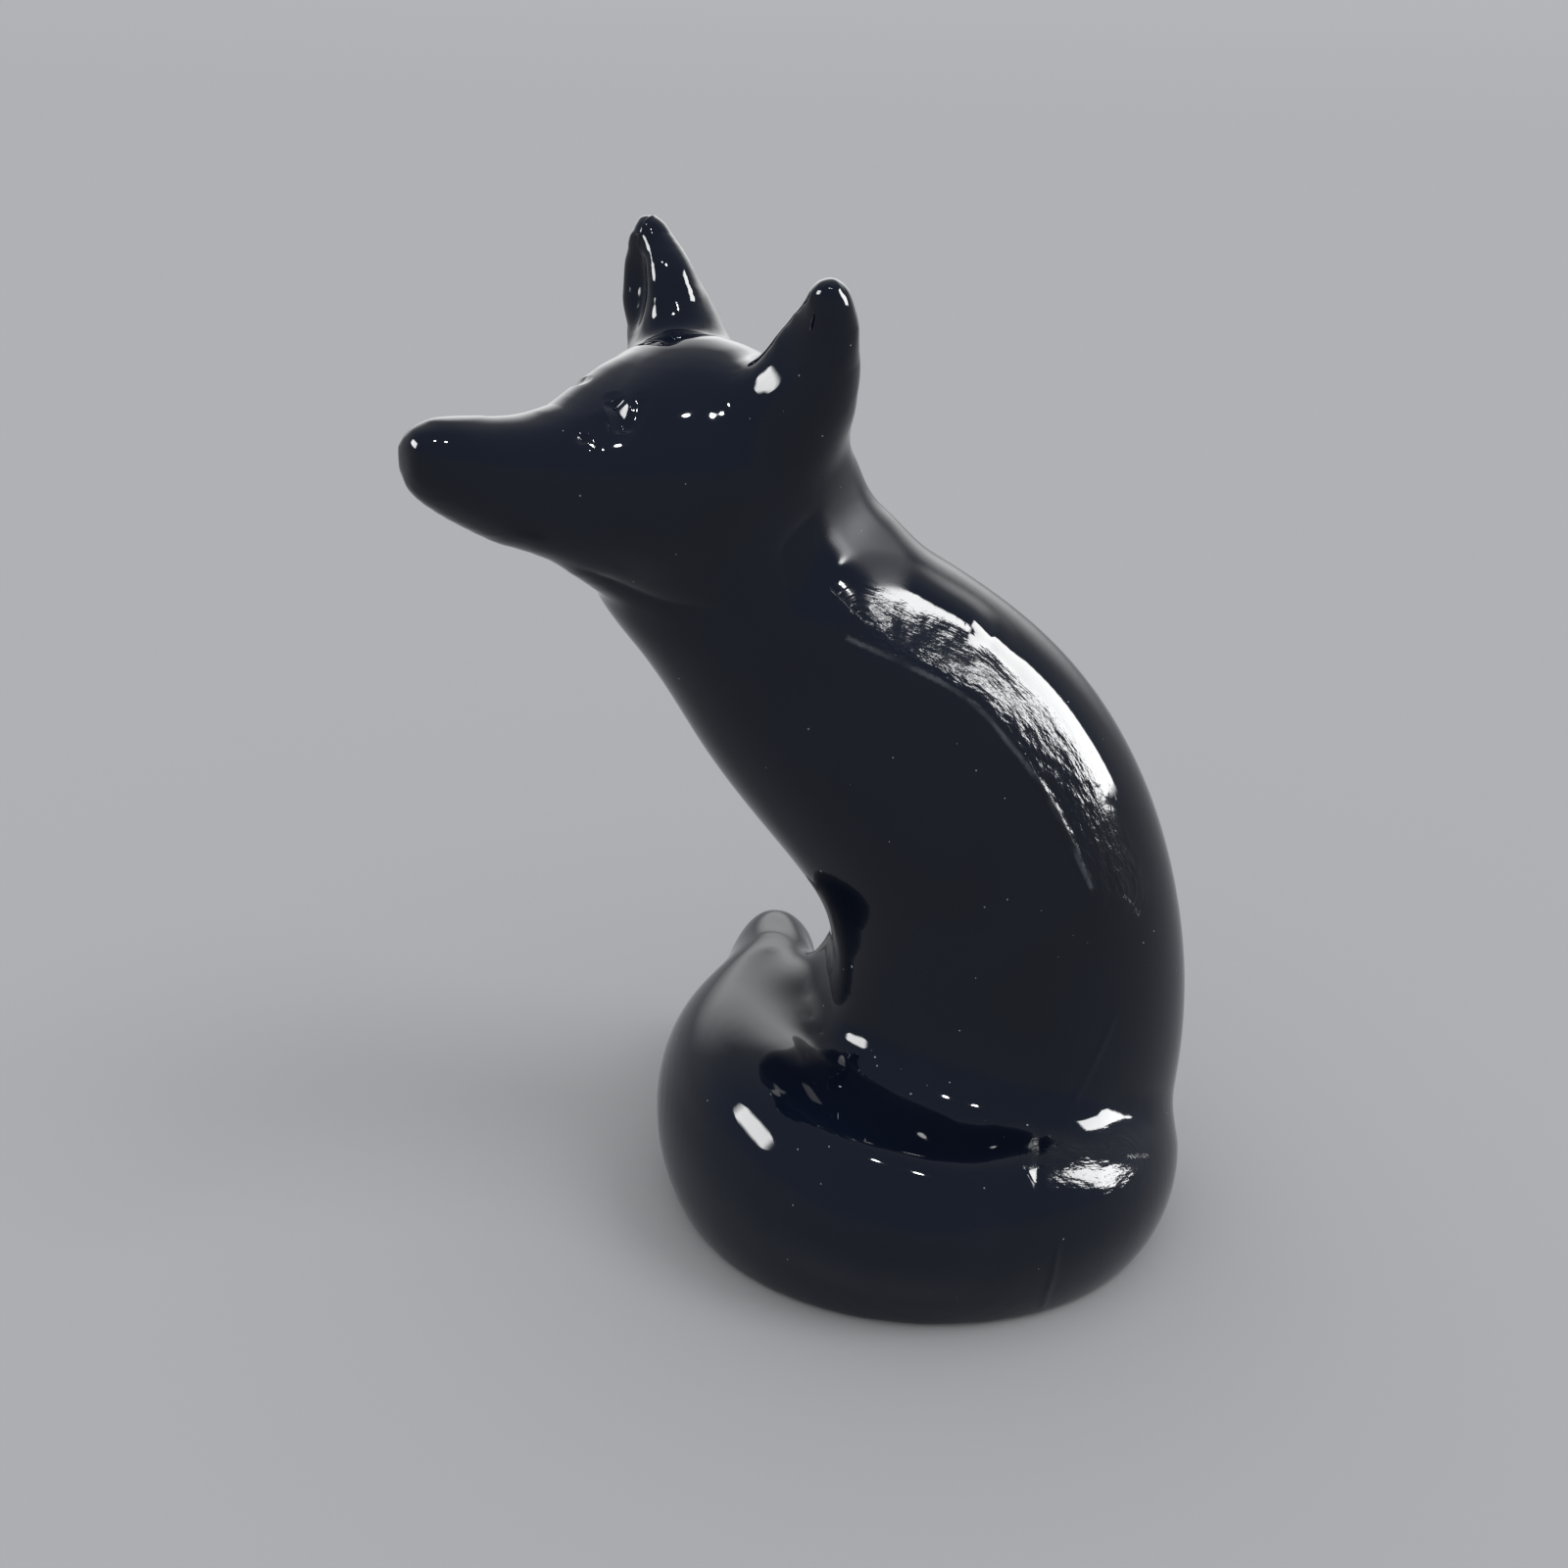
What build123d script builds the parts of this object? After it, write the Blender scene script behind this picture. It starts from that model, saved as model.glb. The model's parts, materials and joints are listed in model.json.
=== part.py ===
"""Seated fox figurine of pressed black glass, its thick tail wrapped round a flat ground base.

Millimetres, +Z up. The origin is the middle of the flat base. The body faces -Y, its left side is +X, and
the head looks over the left shoulder. The glass is one piece: each sculpted mass is a solid of its own,
cut where it meets a larger mass, so that together they fill the figure with no gap and no overlap.
"""

import os
from collections import namedtuple
from math import cos, radians, sin, sqrt

from build123d import *

# Main sizes of the torso, and how far its neck stands in front of and beside the hips
TORSO_HEIGHT = 88.0
TORSO_LENGTH = 42.0
TORSO_WIDTH = 35.0
HIPS_BACK = 11.0
NECK_REACH = 37.0
NECK_ASIDE = 3.0

# The torso's oval sections, from the base up to the neck, in shares of the main sizes: the height, the way of
# the middle from the hips to the neck, forward and aside, and the half sizes to chest, rear and side. The lean
# is the angle of a section towards the chest.
TorsoSection = namedtuple("TorsoSection", "up forward aside lean chest rear side")
TORSO_SECTIONS = (
    TorsoSection(up=0, forward=0.03, aside=0, lean=0, chest=0.49, rear=0.545, side=0.445),
    TorsoSection(up=0.135, forward=0.03, aside=0, lean=0, chest=0.49, rear=0.555, side=0.485),
    TorsoSection(up=0.285, forward=0, aside=0, lean=0, chest=0.5, rear=0.525, side=0.5),
    TorsoSection(up=0.4, forward=0.02, aside=0, lean=4, chest=0.5, rear=0.5, side=0.485),
    TorsoSection(up=0.535, forward=0.15, aside=0, lean=17, chest=0.49, rear=0.495, side=0.47),
    TorsoSection(up=0.645, forward=0.34, aside=0, lean=27, chest=0.48, rear=0.488, side=0.445),
    TorsoSection(up=0.755, forward=0.6, aside=0.15, lean=30, chest=0.43, rear=0.447, side=0.4),
    TorsoSection(up=0.86, forward=0.85, aside=0.5, lean=26, chest=0.365, rear=0.378, side=0.355),
    TorsoSection(up=0.94, forward=1, aside=1, lean=22, chest=0.355, rear=0.32, side=0.3),
    TorsoSection(up=1, forward=1, aside=1, lean=15, chest=0.19, rear=0.2, side=0.2),
)

# Head: turned to the left, nodded and tilted about the middle of the skull, which sits on the neck
NOSE_REACH = 36.5
HEAD_HEIGHT = 30.0
HEAD_WIDTH = 28.0
SKULL_INWARD = 1.4
SKULL_BEHIND_NECK = 1.2
SKULL_ABOVE_NECK = 0.5
HEAD_TURN = 38.0
HEAD_NOD = 1.0
HEAD_TILT = 6.5

# The head's oval sections from the back of the skull to the nose, in shares of its sizes: the way along the
# nose line, the rise above that line, and the half sizes to crown, jaw and side
HeadSection = namedtuple("HeadSection", "along rise top bottom side")
HEAD_SECTIONS = (
    HeadSection(along=-0.345, rise=-0.1, top=0.2, bottom=0.2, side=0.215),
    HeadSection(along=-0.25, rise=-0.065, top=0.365, bottom=0.35, side=0.375),
    HeadSection(along=0, rise=-0.05, top=0.5, bottom=0.45, side=0.5),
    HeadSection(along=0.22, rise=-0.015, top=0.465, bottom=0.435, side=0.485),
    HeadSection(along=0.385, rise=0, top=0.355, bottom=0.345, side=0.365),
    HeadSection(along=0.55, rise=0.035, top=0.24, bottom=0.295, side=0.235),
    HeadSection(along=0.775, rise=0.1, top=0.165, bottom=0.235, side=0.17),
    HeadSection(along=0.93, rise=0.145, top=0.125, bottom=0.16, side=0.13),
    HeadSection(along=1, rise=0.145, top=0.075, bottom=0.08, side=0.07),
)

# Ears: pricked cones of glass, hollowed on the front, rooted inside the head
EAR_BEHIND_MIDDLE = 2.0
EAR_INSIDE_CHEEK = 6.5
EAR_BELOW_CROWN = 13.0
EAR_HEIGHT = 21.5
EAR_SPLAY = 8.5
EAR_FORWARD = 3.0
EAR_WIDTH = 14.5
EAR_DEPTH = 14.2
EAR_TIP_WIDTH = 2.4
EAR_TIP_DEPTH = 3.0
EAR_FULLNESS = 0.38
EAR_OPENING_TURN = 12.0
EAR_HOLLOW_WIDTH = 6.0
EAR_HOLLOW_DEPTH = 2.2
EAR_HOLLOW_END_SHARE = 0.96
EAR_SHARES = (0, 0.3, 0.6, 0.85, 0.95, 1)
EAR_HOLLOW_SHARES = (0.42, 0.52, 0.66, 0.8, 0.88)

# Tail: a ring that stands off from the torso, with its own thickness and height
TAIL_SIDE_STANDOFF = 7.5
TAIL_END_STANDOFF = 4.0
TAIL_THICKNESS = 25.0
TAIL_HEIGHT = 24.5
TAIL_FOOT_SHARE = 1.5

# The tail's sections by angle, 0 at the back and 90 at the fox's left, in shares: the radius of the ring, the
# half widths of the thickness, and the height of the top and of the widest place
TailSection = namedtuple("TailSection", "angle radius inward outward height waist")
TAIL_SECTIONS = (
    TailSection(angle=-12, radius=1, inward=0.36, outward=0.3, height=0.6, waist=0.27),
    TailSection(angle=15, radius=1.04, inward=0.48, outward=0.325, height=0.7, waist=0.31),
    TailSection(angle=50, radius=1, inward=0.52, outward=0.375, height=0.77, waist=0.35),
    TailSection(angle=90, radius=0.96, inward=0.56, outward=0.38, height=0.88, waist=0.39),
    TailSection(angle=130, radius=0.92, inward=0.6, outward=0.41, height=0.98, waist=0.41),
    TailSection(angle=170, radius=0.86, inward=0.6, outward=0.4, height=1, waist=0.41),
    TailSection(angle=200, radius=0.8, inward=0.6, outward=0.41, height=1, waist=0.42),
    TailSection(angle=216, radius=0.84, inward=0.6, outward=0.4, height=1, waist=0.45),
    TailSection(angle=224, radius=0.96, inward=0.58, outward=0.37, height=0.97, waist=0.5),
    TailSection(angle=230, radius=1.08, inward=0.5, outward=0.31, height=0.96, waist=0.56),
    TailSection(angle=235, radius=1.14, inward=0.36, outward=0.25, height=0.94, waist=0.6),
    TailSection(angle=240, radius=1.16, inward=0.22, outward=0.17, height=0.87, waist=0.62),
    TailSection(angle=244, radius=1.16, inward=0.09, outward=0.08, height=0.74, waist=0.63),
)

# Forelegs: each runs from the shoulder, inside the chest, down to a paw on the base
FORELEG_ASIDE = 6.5
SHOULDER_BEHIND_CHEST = 11.0
SHOULDER_UP = 46.0
SHOULDER_RADIUS = 8.0
WRIST_BEHIND_CHEST = 3.5
WRIST_UP = 14.0
WRIST_RADIUS = 6.0
FOREPAW_LENGTH = 9.0

# Haunches: an egg beside each hip, and the right hind paw, which shows where the tail leaves off
HAUNCH_INSIDE_HIP = 7.5
HAUNCH_BEFORE_HIPS = 3.0
HAUNCH_HEIGHT = 40.0
HAUNCH_HALF_LENGTH = 16.0
HAUNCH_OUTER_WIDTH = 10.0
HAUNCH_INNER_WIDTH = 6.0
HAUNCH_SHARES = (0, 0.3, 0.6, 0.85, 0.97)
HIND_PAW_INSIDE_HIP = 0.5
HIND_PAW_BEFORE_HIPS = 9.0
HIND_PAW_HALF_LENGTH = 16.0
HIND_PAW_HALF_WIDTH = 6.5
HIND_PAW_HEIGHT = 9.0
HIND_PAW_SHARES = (0, 0.45, 0.8, 0.97)

QUARTER_TURN = 90
LEFT, RIGHT = 1, -1

# Places that follow from the sizes
neck_back = HIPS_BACK - NECK_REACH
chest_back = HIPS_BACK - TORSO_LENGTH / 2
skull_middle = (NECK_ASIDE - SKULL_INWARD, neck_back + SKULL_BEHIND_NECK, TORSO_HEIGHT + SKULL_ABOVE_NECK)
ring_half_width = TORSO_WIDTH / 2 + TAIL_SIDE_STANDOFF
ring_half_length = TORSO_LENGTH / 2 + TAIL_END_STANDOFF


def egg(plane, right, top, left, bottom):
    """A closed oval of four quarter ellipses about a plane's origin, with a half size for each side."""
    with BuildSketch(plane) as section:
        with BuildLine():
            EllipticalCenterArc((0, 0), right, top, 0, arc_size=QUARTER_TURN)
            EllipticalCenterArc((0, 0), left, top, QUARTER_TURN, arc_size=QUARTER_TURN)
            EllipticalCenterArc((0, 0), left, bottom, 2 * QUARTER_TURN, arc_size=QUARTER_TURN)
            EllipticalCenterArc((0, 0), right, bottom, 3 * QUARTER_TURN, arc_size=QUARTER_TURN)
        make_face()
    return section.sketch


def dome_half(size, share):
    """A half size on a dome, at a share of the dome's height."""
    return size * sqrt(1 - share**2)


def torso_egg(section):
    """One torso section on its leaning plane."""
    spine = (0, -sin(radians(section.lean)), cos(radians(section.lean)))
    back = HIPS_BACK - NECK_REACH * section.forward
    middle = (NECK_ASIDE * section.aside, back, TORSO_HEIGHT * section.up)
    plane = Plane(middle, x_dir=(1, 0, 0), z_dir=spine)
    side = TORSO_WIDTH * section.side
    return egg(plane, side, TORSO_LENGTH * section.rear, side, TORSO_LENGTH * section.chest)


def tail_egg(section):
    """One tail section on the upright plane that crosses the ring at its angle."""
    turn = radians(section.angle)
    outward = Vector(sin(turn), cos(turn), 0)
    onward = Vector(cos(turn), -sin(turn), 0)
    waist = TAIL_HEIGHT * section.waist
    across = ring_half_width * section.radius * sin(turn)
    back = ring_half_length * section.radius * cos(turn)
    plane = Plane((across, back, waist), x_dir=outward, z_dir=onward)
    outer = TAIL_THICKNESS * section.outward
    inner = TAIL_THICKNESS * section.inward
    return egg(plane, outer, TAIL_HEIGHT * section.height - waist, inner, waist * TAIL_FOOT_SHARE)


# The head's own directions: x aside to the fox's left, y back along the nose line, z up through the crown
head_frame = Plane(skull_middle).rotated((HEAD_NOD, HEAD_TILT, HEAD_TURN), Extrinsic.XYZ)


def head_place(aside, along, rise):
    """A place given in the head's own directions."""
    return head_frame.from_local_coords(Vector(aside, -along, rise))


def head_egg(section):
    """One head section, square to the nose line."""
    middle = head_place(0, NOSE_REACH * section.along, HEAD_HEIGHT * section.rise)
    plane = Plane(middle, x_dir=head_frame.x_dir, z_dir=-head_frame.y_dir)
    side = HEAD_WIDTH * section.side
    return egg(plane, side, HEAD_HEIGHT * section.top, side, HEAD_HEIGHT * section.bottom)


def ear_plane(hand, share):
    """The plane across an ear at a share of its height: x across the ear, y to its opening."""
    aside = HEAD_WIDTH / 2 - EAR_INSIDE_CHEEK + EAR_SPLAY * share
    along = EAR_FORWARD * share - EAR_BEHIND_MIDDLE
    rise = HEAD_HEIGHT / 2 - EAR_BELOW_CROWN + EAR_HEIGHT * share
    turn = radians(EAR_OPENING_TURN)
    opening = head_frame.x_dir * (hand * sin(turn)) - head_frame.y_dir * cos(turn)
    across = opening.cross(head_frame.z_dir)
    return Plane(head_place(hand * aside, along, rise), x_dir=across, z_dir=head_frame.z_dir)


def ear_half(root, tip, share):
    """Half an ear's width or depth at a share of its height: a straight taper with a slight fullness."""
    return (root + (tip - root) * share) / 2 + EAR_FULLNESS * root * share * (1 - share)


def ear_egg(hand, share):
    """One ear section."""
    half_width = ear_half(EAR_WIDTH, EAR_TIP_WIDTH, share)
    half_depth = ear_half(EAR_DEPTH, EAR_TIP_DEPTH, share)
    return egg(ear_plane(hand, share), half_width, half_depth, half_width, half_depth)


def ear_hollow_egg(hand, share):
    """One section of the scoop in an ear's front, which closes towards both of its ends."""
    first, last = EAR_HOLLOW_SHARES[0], EAR_HOLLOW_SHARES[-1]
    middle, half = (first + last) / 2, (last - first) / 2
    swell = dome_half(1, EAR_HOLLOW_END_SHARE * (share - middle) / half)
    surface = ear_half(EAR_DEPTH, EAR_TIP_DEPTH, share)
    half_width = EAR_HOLLOW_WIDTH / 2 * swell
    half_depth = EAR_HOLLOW_DEPTH * swell
    plane = ear_plane(hand, share)
    front = Plane(plane.from_local_coords(Vector(0, surface, 0)), x_dir=plane.x_dir, z_dir=plane.z_dir)
    return egg(front, half_width, half_depth, half_width, half_depth)


def foreleg_egg(hand, back, up, radius, reach):
    """One level section of a foreleg, with its own reach to the front."""
    return egg(Plane((hand * FORELEG_ASIDE, back, up)), radius, radius, radius, reach)


def haunch_egg(hand, share):
    """One level section of a haunch, fuller on its outer side."""
    aside = TORSO_WIDTH / 2 - HAUNCH_INSIDE_HIP
    middle = (hand * aside, HIPS_BACK - HAUNCH_BEFORE_HIPS, HAUNCH_HEIGHT * share)
    plane = Plane(middle, x_dir=(hand, 0, 0))
    outer = dome_half(HAUNCH_OUTER_WIDTH, share)
    inner = dome_half(HAUNCH_INNER_WIDTH, share)
    half_length = dome_half(HAUNCH_HALF_LENGTH, share)
    return egg(plane, outer, half_length, inner, half_length)


def hind_paw_egg(hand, share):
    """One level section of a hind paw."""
    aside = TORSO_WIDTH / 2 - HIND_PAW_INSIDE_HIP
    plane = Plane((hand * aside, HIPS_BACK - HIND_PAW_BEFORE_HIPS, HIND_PAW_HEIGHT * share))
    half_width = dome_half(HIND_PAW_HALF_WIDTH, share)
    half_length = dome_half(HIND_PAW_HALF_LENGTH, share)
    return egg(plane, half_width, half_length, half_width, half_length)


def build_ear(hand):
    """An ear with its hollow, seated on the head."""
    with BuildPart() as ear:
        loft(sections=[ear_egg(hand, share) for share in EAR_SHARES])
        loft(sections=[ear_hollow_egg(hand, share) for share in EAR_HOLLOW_SHARES], mode=Mode.SUBTRACT)
        add(torso.part, mode=Mode.SUBTRACT)
        add(head.part, mode=Mode.SUBTRACT)
    return ear


def build_foreleg(hand):
    """A foreleg from the chest down to the base."""
    shoulder_back = chest_back + SHOULDER_BEHIND_CHEST
    wrist_back = chest_back + WRIST_BEHIND_CHEST
    elbow_back = (shoulder_back + wrist_back) / 2
    elbow_up = (SHOULDER_UP + WRIST_UP) / 2
    elbow_radius = (SHOULDER_RADIUS + WRIST_RADIUS) / 2
    with BuildPart() as foreleg:
        sections = [
            foreleg_egg(hand, wrist_back, 0, WRIST_RADIUS, FOREPAW_LENGTH),
            foreleg_egg(hand, wrist_back, WRIST_UP, WRIST_RADIUS, WRIST_RADIUS),
            foreleg_egg(hand, elbow_back, elbow_up, elbow_radius, elbow_radius),
            foreleg_egg(hand, shoulder_back, SHOULDER_UP, SHOULDER_RADIUS, SHOULDER_RADIUS),
        ]
        loft(sections=sections)
        add(torso.part, mode=Mode.SUBTRACT)
    return foreleg


def build_haunch(hand, foreleg):
    """A haunch beside the hips, behind its foreleg."""
    with BuildPart() as haunch:
        loft(sections=[haunch_egg(hand, share) for share in HAUNCH_SHARES])
        add(torso.part, mode=Mode.SUBTRACT)
        add(foreleg.part, mode=Mode.SUBTRACT)
    return haunch


os.makedirs("parts", exist_ok=True)

with BuildPart() as torso:
    loft(sections=[torso_egg(section) for section in TORSO_SECTIONS])

with BuildPart() as head:
    loft(sections=[head_egg(section) for section in HEAD_SECTIONS])
    add(torso.part, mode=Mode.SUBTRACT)

left_ear = build_ear(LEFT)
right_ear = build_ear(RIGHT)
left_foreleg = build_foreleg(LEFT)
right_foreleg = build_foreleg(RIGHT)
left_haunch = build_haunch(LEFT, left_foreleg)
right_haunch = build_haunch(RIGHT, right_foreleg)

with BuildPart() as right_hind_paw:
    loft(sections=[hind_paw_egg(RIGHT, share) for share in HIND_PAW_SHARES])
    for larger in (torso, right_foreleg, right_haunch):
        add(larger.part, mode=Mode.SUBTRACT)

# The tail lies against the body, so the torso, the legs and the haunches are cut out of it
with BuildPart() as tail:
    loft(sections=[tail_egg(section) for section in TAIL_SECTIONS])
    split(bisect_by=Plane.XY, keep=Keep.TOP)
    for inside in (torso, left_foreleg, right_foreleg, left_haunch, right_haunch, right_hind_paw):
        add(inside.part, mode=Mode.SUBTRACT)

pieces = {
    "torso": torso,
    "head": head,
    "tail": tail,
    "left_ear": left_ear,
    "right_ear": right_ear,
    "left_foreleg": left_foreleg,
    "right_foreleg": right_foreleg,
    "left_haunch": left_haunch,
    "right_haunch": right_haunch,
    "right_hind_paw": right_hind_paw,
}
for name, piece in pieces.items():
    piece.part.label = name
    export_step(piece.part, f"parts/{name}.step")
    print(name, [round(solid.volume) for solid in piece.part.solids()])
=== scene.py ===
"""Looks of a seated fox figurine of pressed black glass.

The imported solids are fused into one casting, softened where its masses meet and sculpted with the moulded
details, then parted again at the solids' own borders. So each solid has a piece of its own, and the gloss
runs from piece to piece without a seam. Meshes are in metres, as the frame is, and sculpting counts in
millimetres.
"""

import json
import logging
import math
from dataclasses import dataclass
from enum import Enum

import bmesh
import bpy
import numpy as np
from mathutils import Matrix, Vector, noise
from mathutils.bvhtree import BVHTree

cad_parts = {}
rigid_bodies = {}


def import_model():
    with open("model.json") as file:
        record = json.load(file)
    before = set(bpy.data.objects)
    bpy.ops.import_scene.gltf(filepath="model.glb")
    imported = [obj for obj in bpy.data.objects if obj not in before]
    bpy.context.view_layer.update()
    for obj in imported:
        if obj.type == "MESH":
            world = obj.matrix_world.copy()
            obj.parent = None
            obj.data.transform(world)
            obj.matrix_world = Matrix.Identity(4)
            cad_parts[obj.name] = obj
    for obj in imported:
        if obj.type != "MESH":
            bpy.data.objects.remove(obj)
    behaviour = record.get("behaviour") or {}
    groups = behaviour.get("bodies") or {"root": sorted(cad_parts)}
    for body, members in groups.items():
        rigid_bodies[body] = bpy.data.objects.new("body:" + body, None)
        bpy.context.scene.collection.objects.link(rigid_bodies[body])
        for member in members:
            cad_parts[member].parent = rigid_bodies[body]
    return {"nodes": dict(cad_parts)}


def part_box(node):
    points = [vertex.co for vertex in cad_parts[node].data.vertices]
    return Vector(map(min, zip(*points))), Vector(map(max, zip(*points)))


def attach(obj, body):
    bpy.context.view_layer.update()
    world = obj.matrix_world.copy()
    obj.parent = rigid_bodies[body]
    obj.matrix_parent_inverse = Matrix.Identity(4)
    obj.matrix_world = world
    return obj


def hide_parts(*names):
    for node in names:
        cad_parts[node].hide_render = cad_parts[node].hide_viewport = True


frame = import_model()

log = logging.getLogger("fox_figurine")

MM = 0.001
CHILL_CHART = "chill"
DUST_MASK = "dust"
# Mask of the mould seam, used for its painted highlight and its rougher gloss.
SEAM_SHEEN_MASK = "seam_sheen"
HAZE_MASK = "haze"
SOURCE_VERTEX = "source_vertex"

Pixel = tuple[float, float]
Place = tuple[float, float, float]
Colour = tuple[float, float, float, float]
Range = tuple[float, float]


def placed(name: str, data: bpy.types.ID) -> bpy.types.Object:
    """Add an object to the scene.

    Args:
        name: Its name.
        data: Its mesh, light or camera.

    Returns:
        The object.
    """
    thing = bpy.data.objects.new(name, data)
    bpy.context.scene.collection.objects.link(thing)
    return thing


def opened(mesh: bpy.types.Mesh) -> bmesh.types.BMesh:
    """Open a copy of a mesh for editing.

    Args:
        mesh: The mesh, which stays as it is.

    Returns:
        The copy.
    """
    copy = bmesh.new()
    copy.from_mesh(mesh)
    return copy


def written(name: str, edited: bmesh.types.BMesh) -> bpy.types.Mesh:
    """Write an edited mesh down.

    Args:
        name: Name of the new mesh.
        edited: The edited mesh, which is used up.

    Returns:
        The new mesh.
    """
    mesh = bpy.data.meshes.new(name)
    edited.to_mesh(mesh)
    edited.free()
    return mesh


def tree_of(mesh: bpy.types.Mesh) -> BVHTree:
    """Make the search tree of a mesh.

    Args:
        mesh: The mesh.

    Returns:
        The tree, in metres.
    """
    faces = opened(mesh)
    tree = BVHTree.FromBMesh(faces)
    faces.free()
    return tree


def taken(rows: bpy.types.bpy_prop_collection, name: str, kind: type, width: int = 1) -> np.ndarray:
    """Take one value of all vertices, edges, faces or corners of a mesh.

    Args:
        rows: The mesh's vertices, or whichever of these.
        name: Name of the value.
        kind: Type of its numbers.
        width: How many numbers it has.

    Returns:
        The numbers, in rows where the value has several.
    """
    numbers = np.empty(len(rows) * width, kind)
    rows.foreach_get(name, numbers)
    return numbers.reshape(-1, width) if width > 1 else numbers


@dataclass(frozen=True)
class PhotoCamera:
    """The camera that took the photograph, fitted in the model's frame.

    Place and clipping are in millimetres, pitch and roll are degrees, and pixels count in the photograph's
    square frame.
    """

    place: Place = (170.0, -17.0, 121.0)
    pitch: float = 22.2
    roll: float = 2.37
    lens: float = 36.0
    sensor: float = 36.0
    clip_near: float = 10.0
    clip_far: float = 50000.0
    image_side: float = 1600.0

    def axes(self) -> tuple[Vector, Vector, Vector]:
        """Work out which way the camera faces.

        Returns:
            The camera's right, up and back directions in the model's frame.
        """
        pitch, roll = math.radians(self.pitch), math.radians(self.roll)
        level_right = Vector((0.0, 1.0, 0.0))
        level_up = Vector((-math.sin(pitch), 0.0, math.cos(pitch)))
        back = Vector((math.cos(pitch), 0.0, math.sin(pitch)))
        right = level_right * math.cos(roll) + level_up * math.sin(roll)
        up = level_up * math.cos(roll) - level_right * math.sin(roll)
        return right, up, back

    def ray(self, pixel: Pixel) -> Vector:
        """Find the direction that a pixel looks in.

        Args:
            pixel: Column and row in the photograph.

        Returns:
            A unit direction in the model's frame.
        """
        right, up, back = self.axes()
        focal = self.image_side * self.lens / self.sensor
        middle = self.image_side / 2
        aside = right * ((pixel[0] - middle) / focal)
        rise = up * ((middle - pixel[1]) / focal)
        return (aside + rise - back).normalized()

    def build(self) -> None:
        """Set the scene's camera at this place."""
        data = bpy.data.cameras.new("photo_camera")
        data.lens = self.lens
        data.sensor_width = self.sensor
        data.sensor_fit = "HORIZONTAL"
        data.clip_start = self.clip_near * MM
        data.clip_end = self.clip_far * MM
        camera = placed("photo_camera", data)
        right, up, back = self.axes()
        turn = Matrix((right, up, back)).transposed().to_4x4()
        camera.matrix_world = Matrix.Translation(Vector(self.place) * MM) @ turn
        bpy.context.scene.camera = camera


@dataclass(frozen=True)
class HeadFrame:
    """The head's own directions: aside to the fox's left, along the nose line, and rise to the crown."""

    middle: Place = (1.6, -24.8, 88.5)
    turn: float = 38.0
    nod: float = 1.0
    tilt: float = 6.5

    def matrix(self) -> Matrix:
        """Give the matrix from the head's places to the model's, in millimetres."""
        turn = Matrix.Rotation(math.radians(self.turn), 4, "Z")
        tilt = Matrix.Rotation(math.radians(self.tilt), 4, "Y")
        nod = Matrix.Rotation(math.radians(self.nod), 4, "X")
        return Matrix.Translation(self.middle) @ turn @ tilt @ nod

    def place(self, aside: float, along: float, rise: float) -> Vector:
        """Give the model's place, in millimetres, of a place on the head."""
        return self.matrix() @ Vector((aside, -along, rise))


@dataclass(frozen=True)
class PhotoLine:
    """A line on the casting, drawn through pixels of the photograph."""

    pixels: tuple[Pixel, ...]
    step: float = 6.0

    def trace(self, casting: "Casting") -> np.ndarray:
        """Lay the line on the casting.

        Args:
            casting: The casting that carries the line.

        Returns:
            Places along the line, in millimetres.
        """
        camera = PhotoCamera()
        found = []
        for pixel in spaced(np.array(self.pixels, float), self.step):
            hit = casting.cast(Vector(camera.place), camera.ray(pixel))
            if hit is not None:
                found.append(hit)
        return np.array(found)


@dataclass(frozen=True)
class HeadLine:
    """A line on the head, drawn through places in the head's own directions and dropped on the glass."""

    places: tuple[Place, ...]
    mirrored: bool = False
    step: float = 0.6

    def trace(self, casting: "Casting") -> np.ndarray:
        """Lay the line on the casting.

        Args:
            casting: The casting that carries the line.

        Returns:
            Places along the line, in millimetres.
        """
        head = HeadFrame()
        hand = -1.0 if self.mirrored else 1.0
        found = []
        for aside, along, rise in spaced(np.array(self.places, float), self.step):
            found.append(casting.nearest(head.place(hand * aside, along, rise)))
        return np.array(found)


def spaced(points: np.ndarray, step: float) -> np.ndarray:
    """Round a line of points off and space it evenly.

    Args:
        points: The points that the line passes through, one in each row.
        step: Distance between the points of the result, about.

    Returns:
        Points along a Catmull-Rom curve through the given points.
    """
    if len(points) < 2:
        return points
    before = 2 * points[0] - points[1]
    after = 2 * points[-1] - points[-2]
    padded = np.vstack([before, points, after])
    rows = []
    for start in range(len(points) - 1):
        first, second, third, fourth = padded[start : start + 4]
        count = max(1, round(float(np.linalg.norm(third - second)) / step))
        for share in np.arange(count) / count:
            rows.append(catmull_rom(first, second, third, fourth, share))
    rows.append(points[-1])
    return np.array(rows)


def catmull_rom(
    first: np.ndarray, second: np.ndarray, third: np.ndarray, fourth: np.ndarray, share: float
) -> np.ndarray:
    """Find a point between the second and third of four points.

    Args:
        first: The point before.
        second: The point where the share is 0.
        third: The point where the share is 1.
        fourth: The point after.
        share: How far along, from 0 to 1.

    Returns:
        The point on the curve.
    """
    slope = (third - first) * share
    bend = (2 * first - 5 * second + 4 * third - fourth) * share**2
    twist = (3 * second - 3 * third + fourth - first) * share**3
    return second + (slope + bend + twist) / 2


def eased(share: np.ndarray) -> np.ndarray:
    """Ease a share smoothly from 0 to 1."""
    held = np.clip(share, 0.0, 1.0)
    return held * held * (3 - 2 * held)


class Profile(Enum):
    """How a stroke's height falls off to its side."""

    ROUND = "round"
    CREASE = "crease"
    WALL = "wall"


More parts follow.
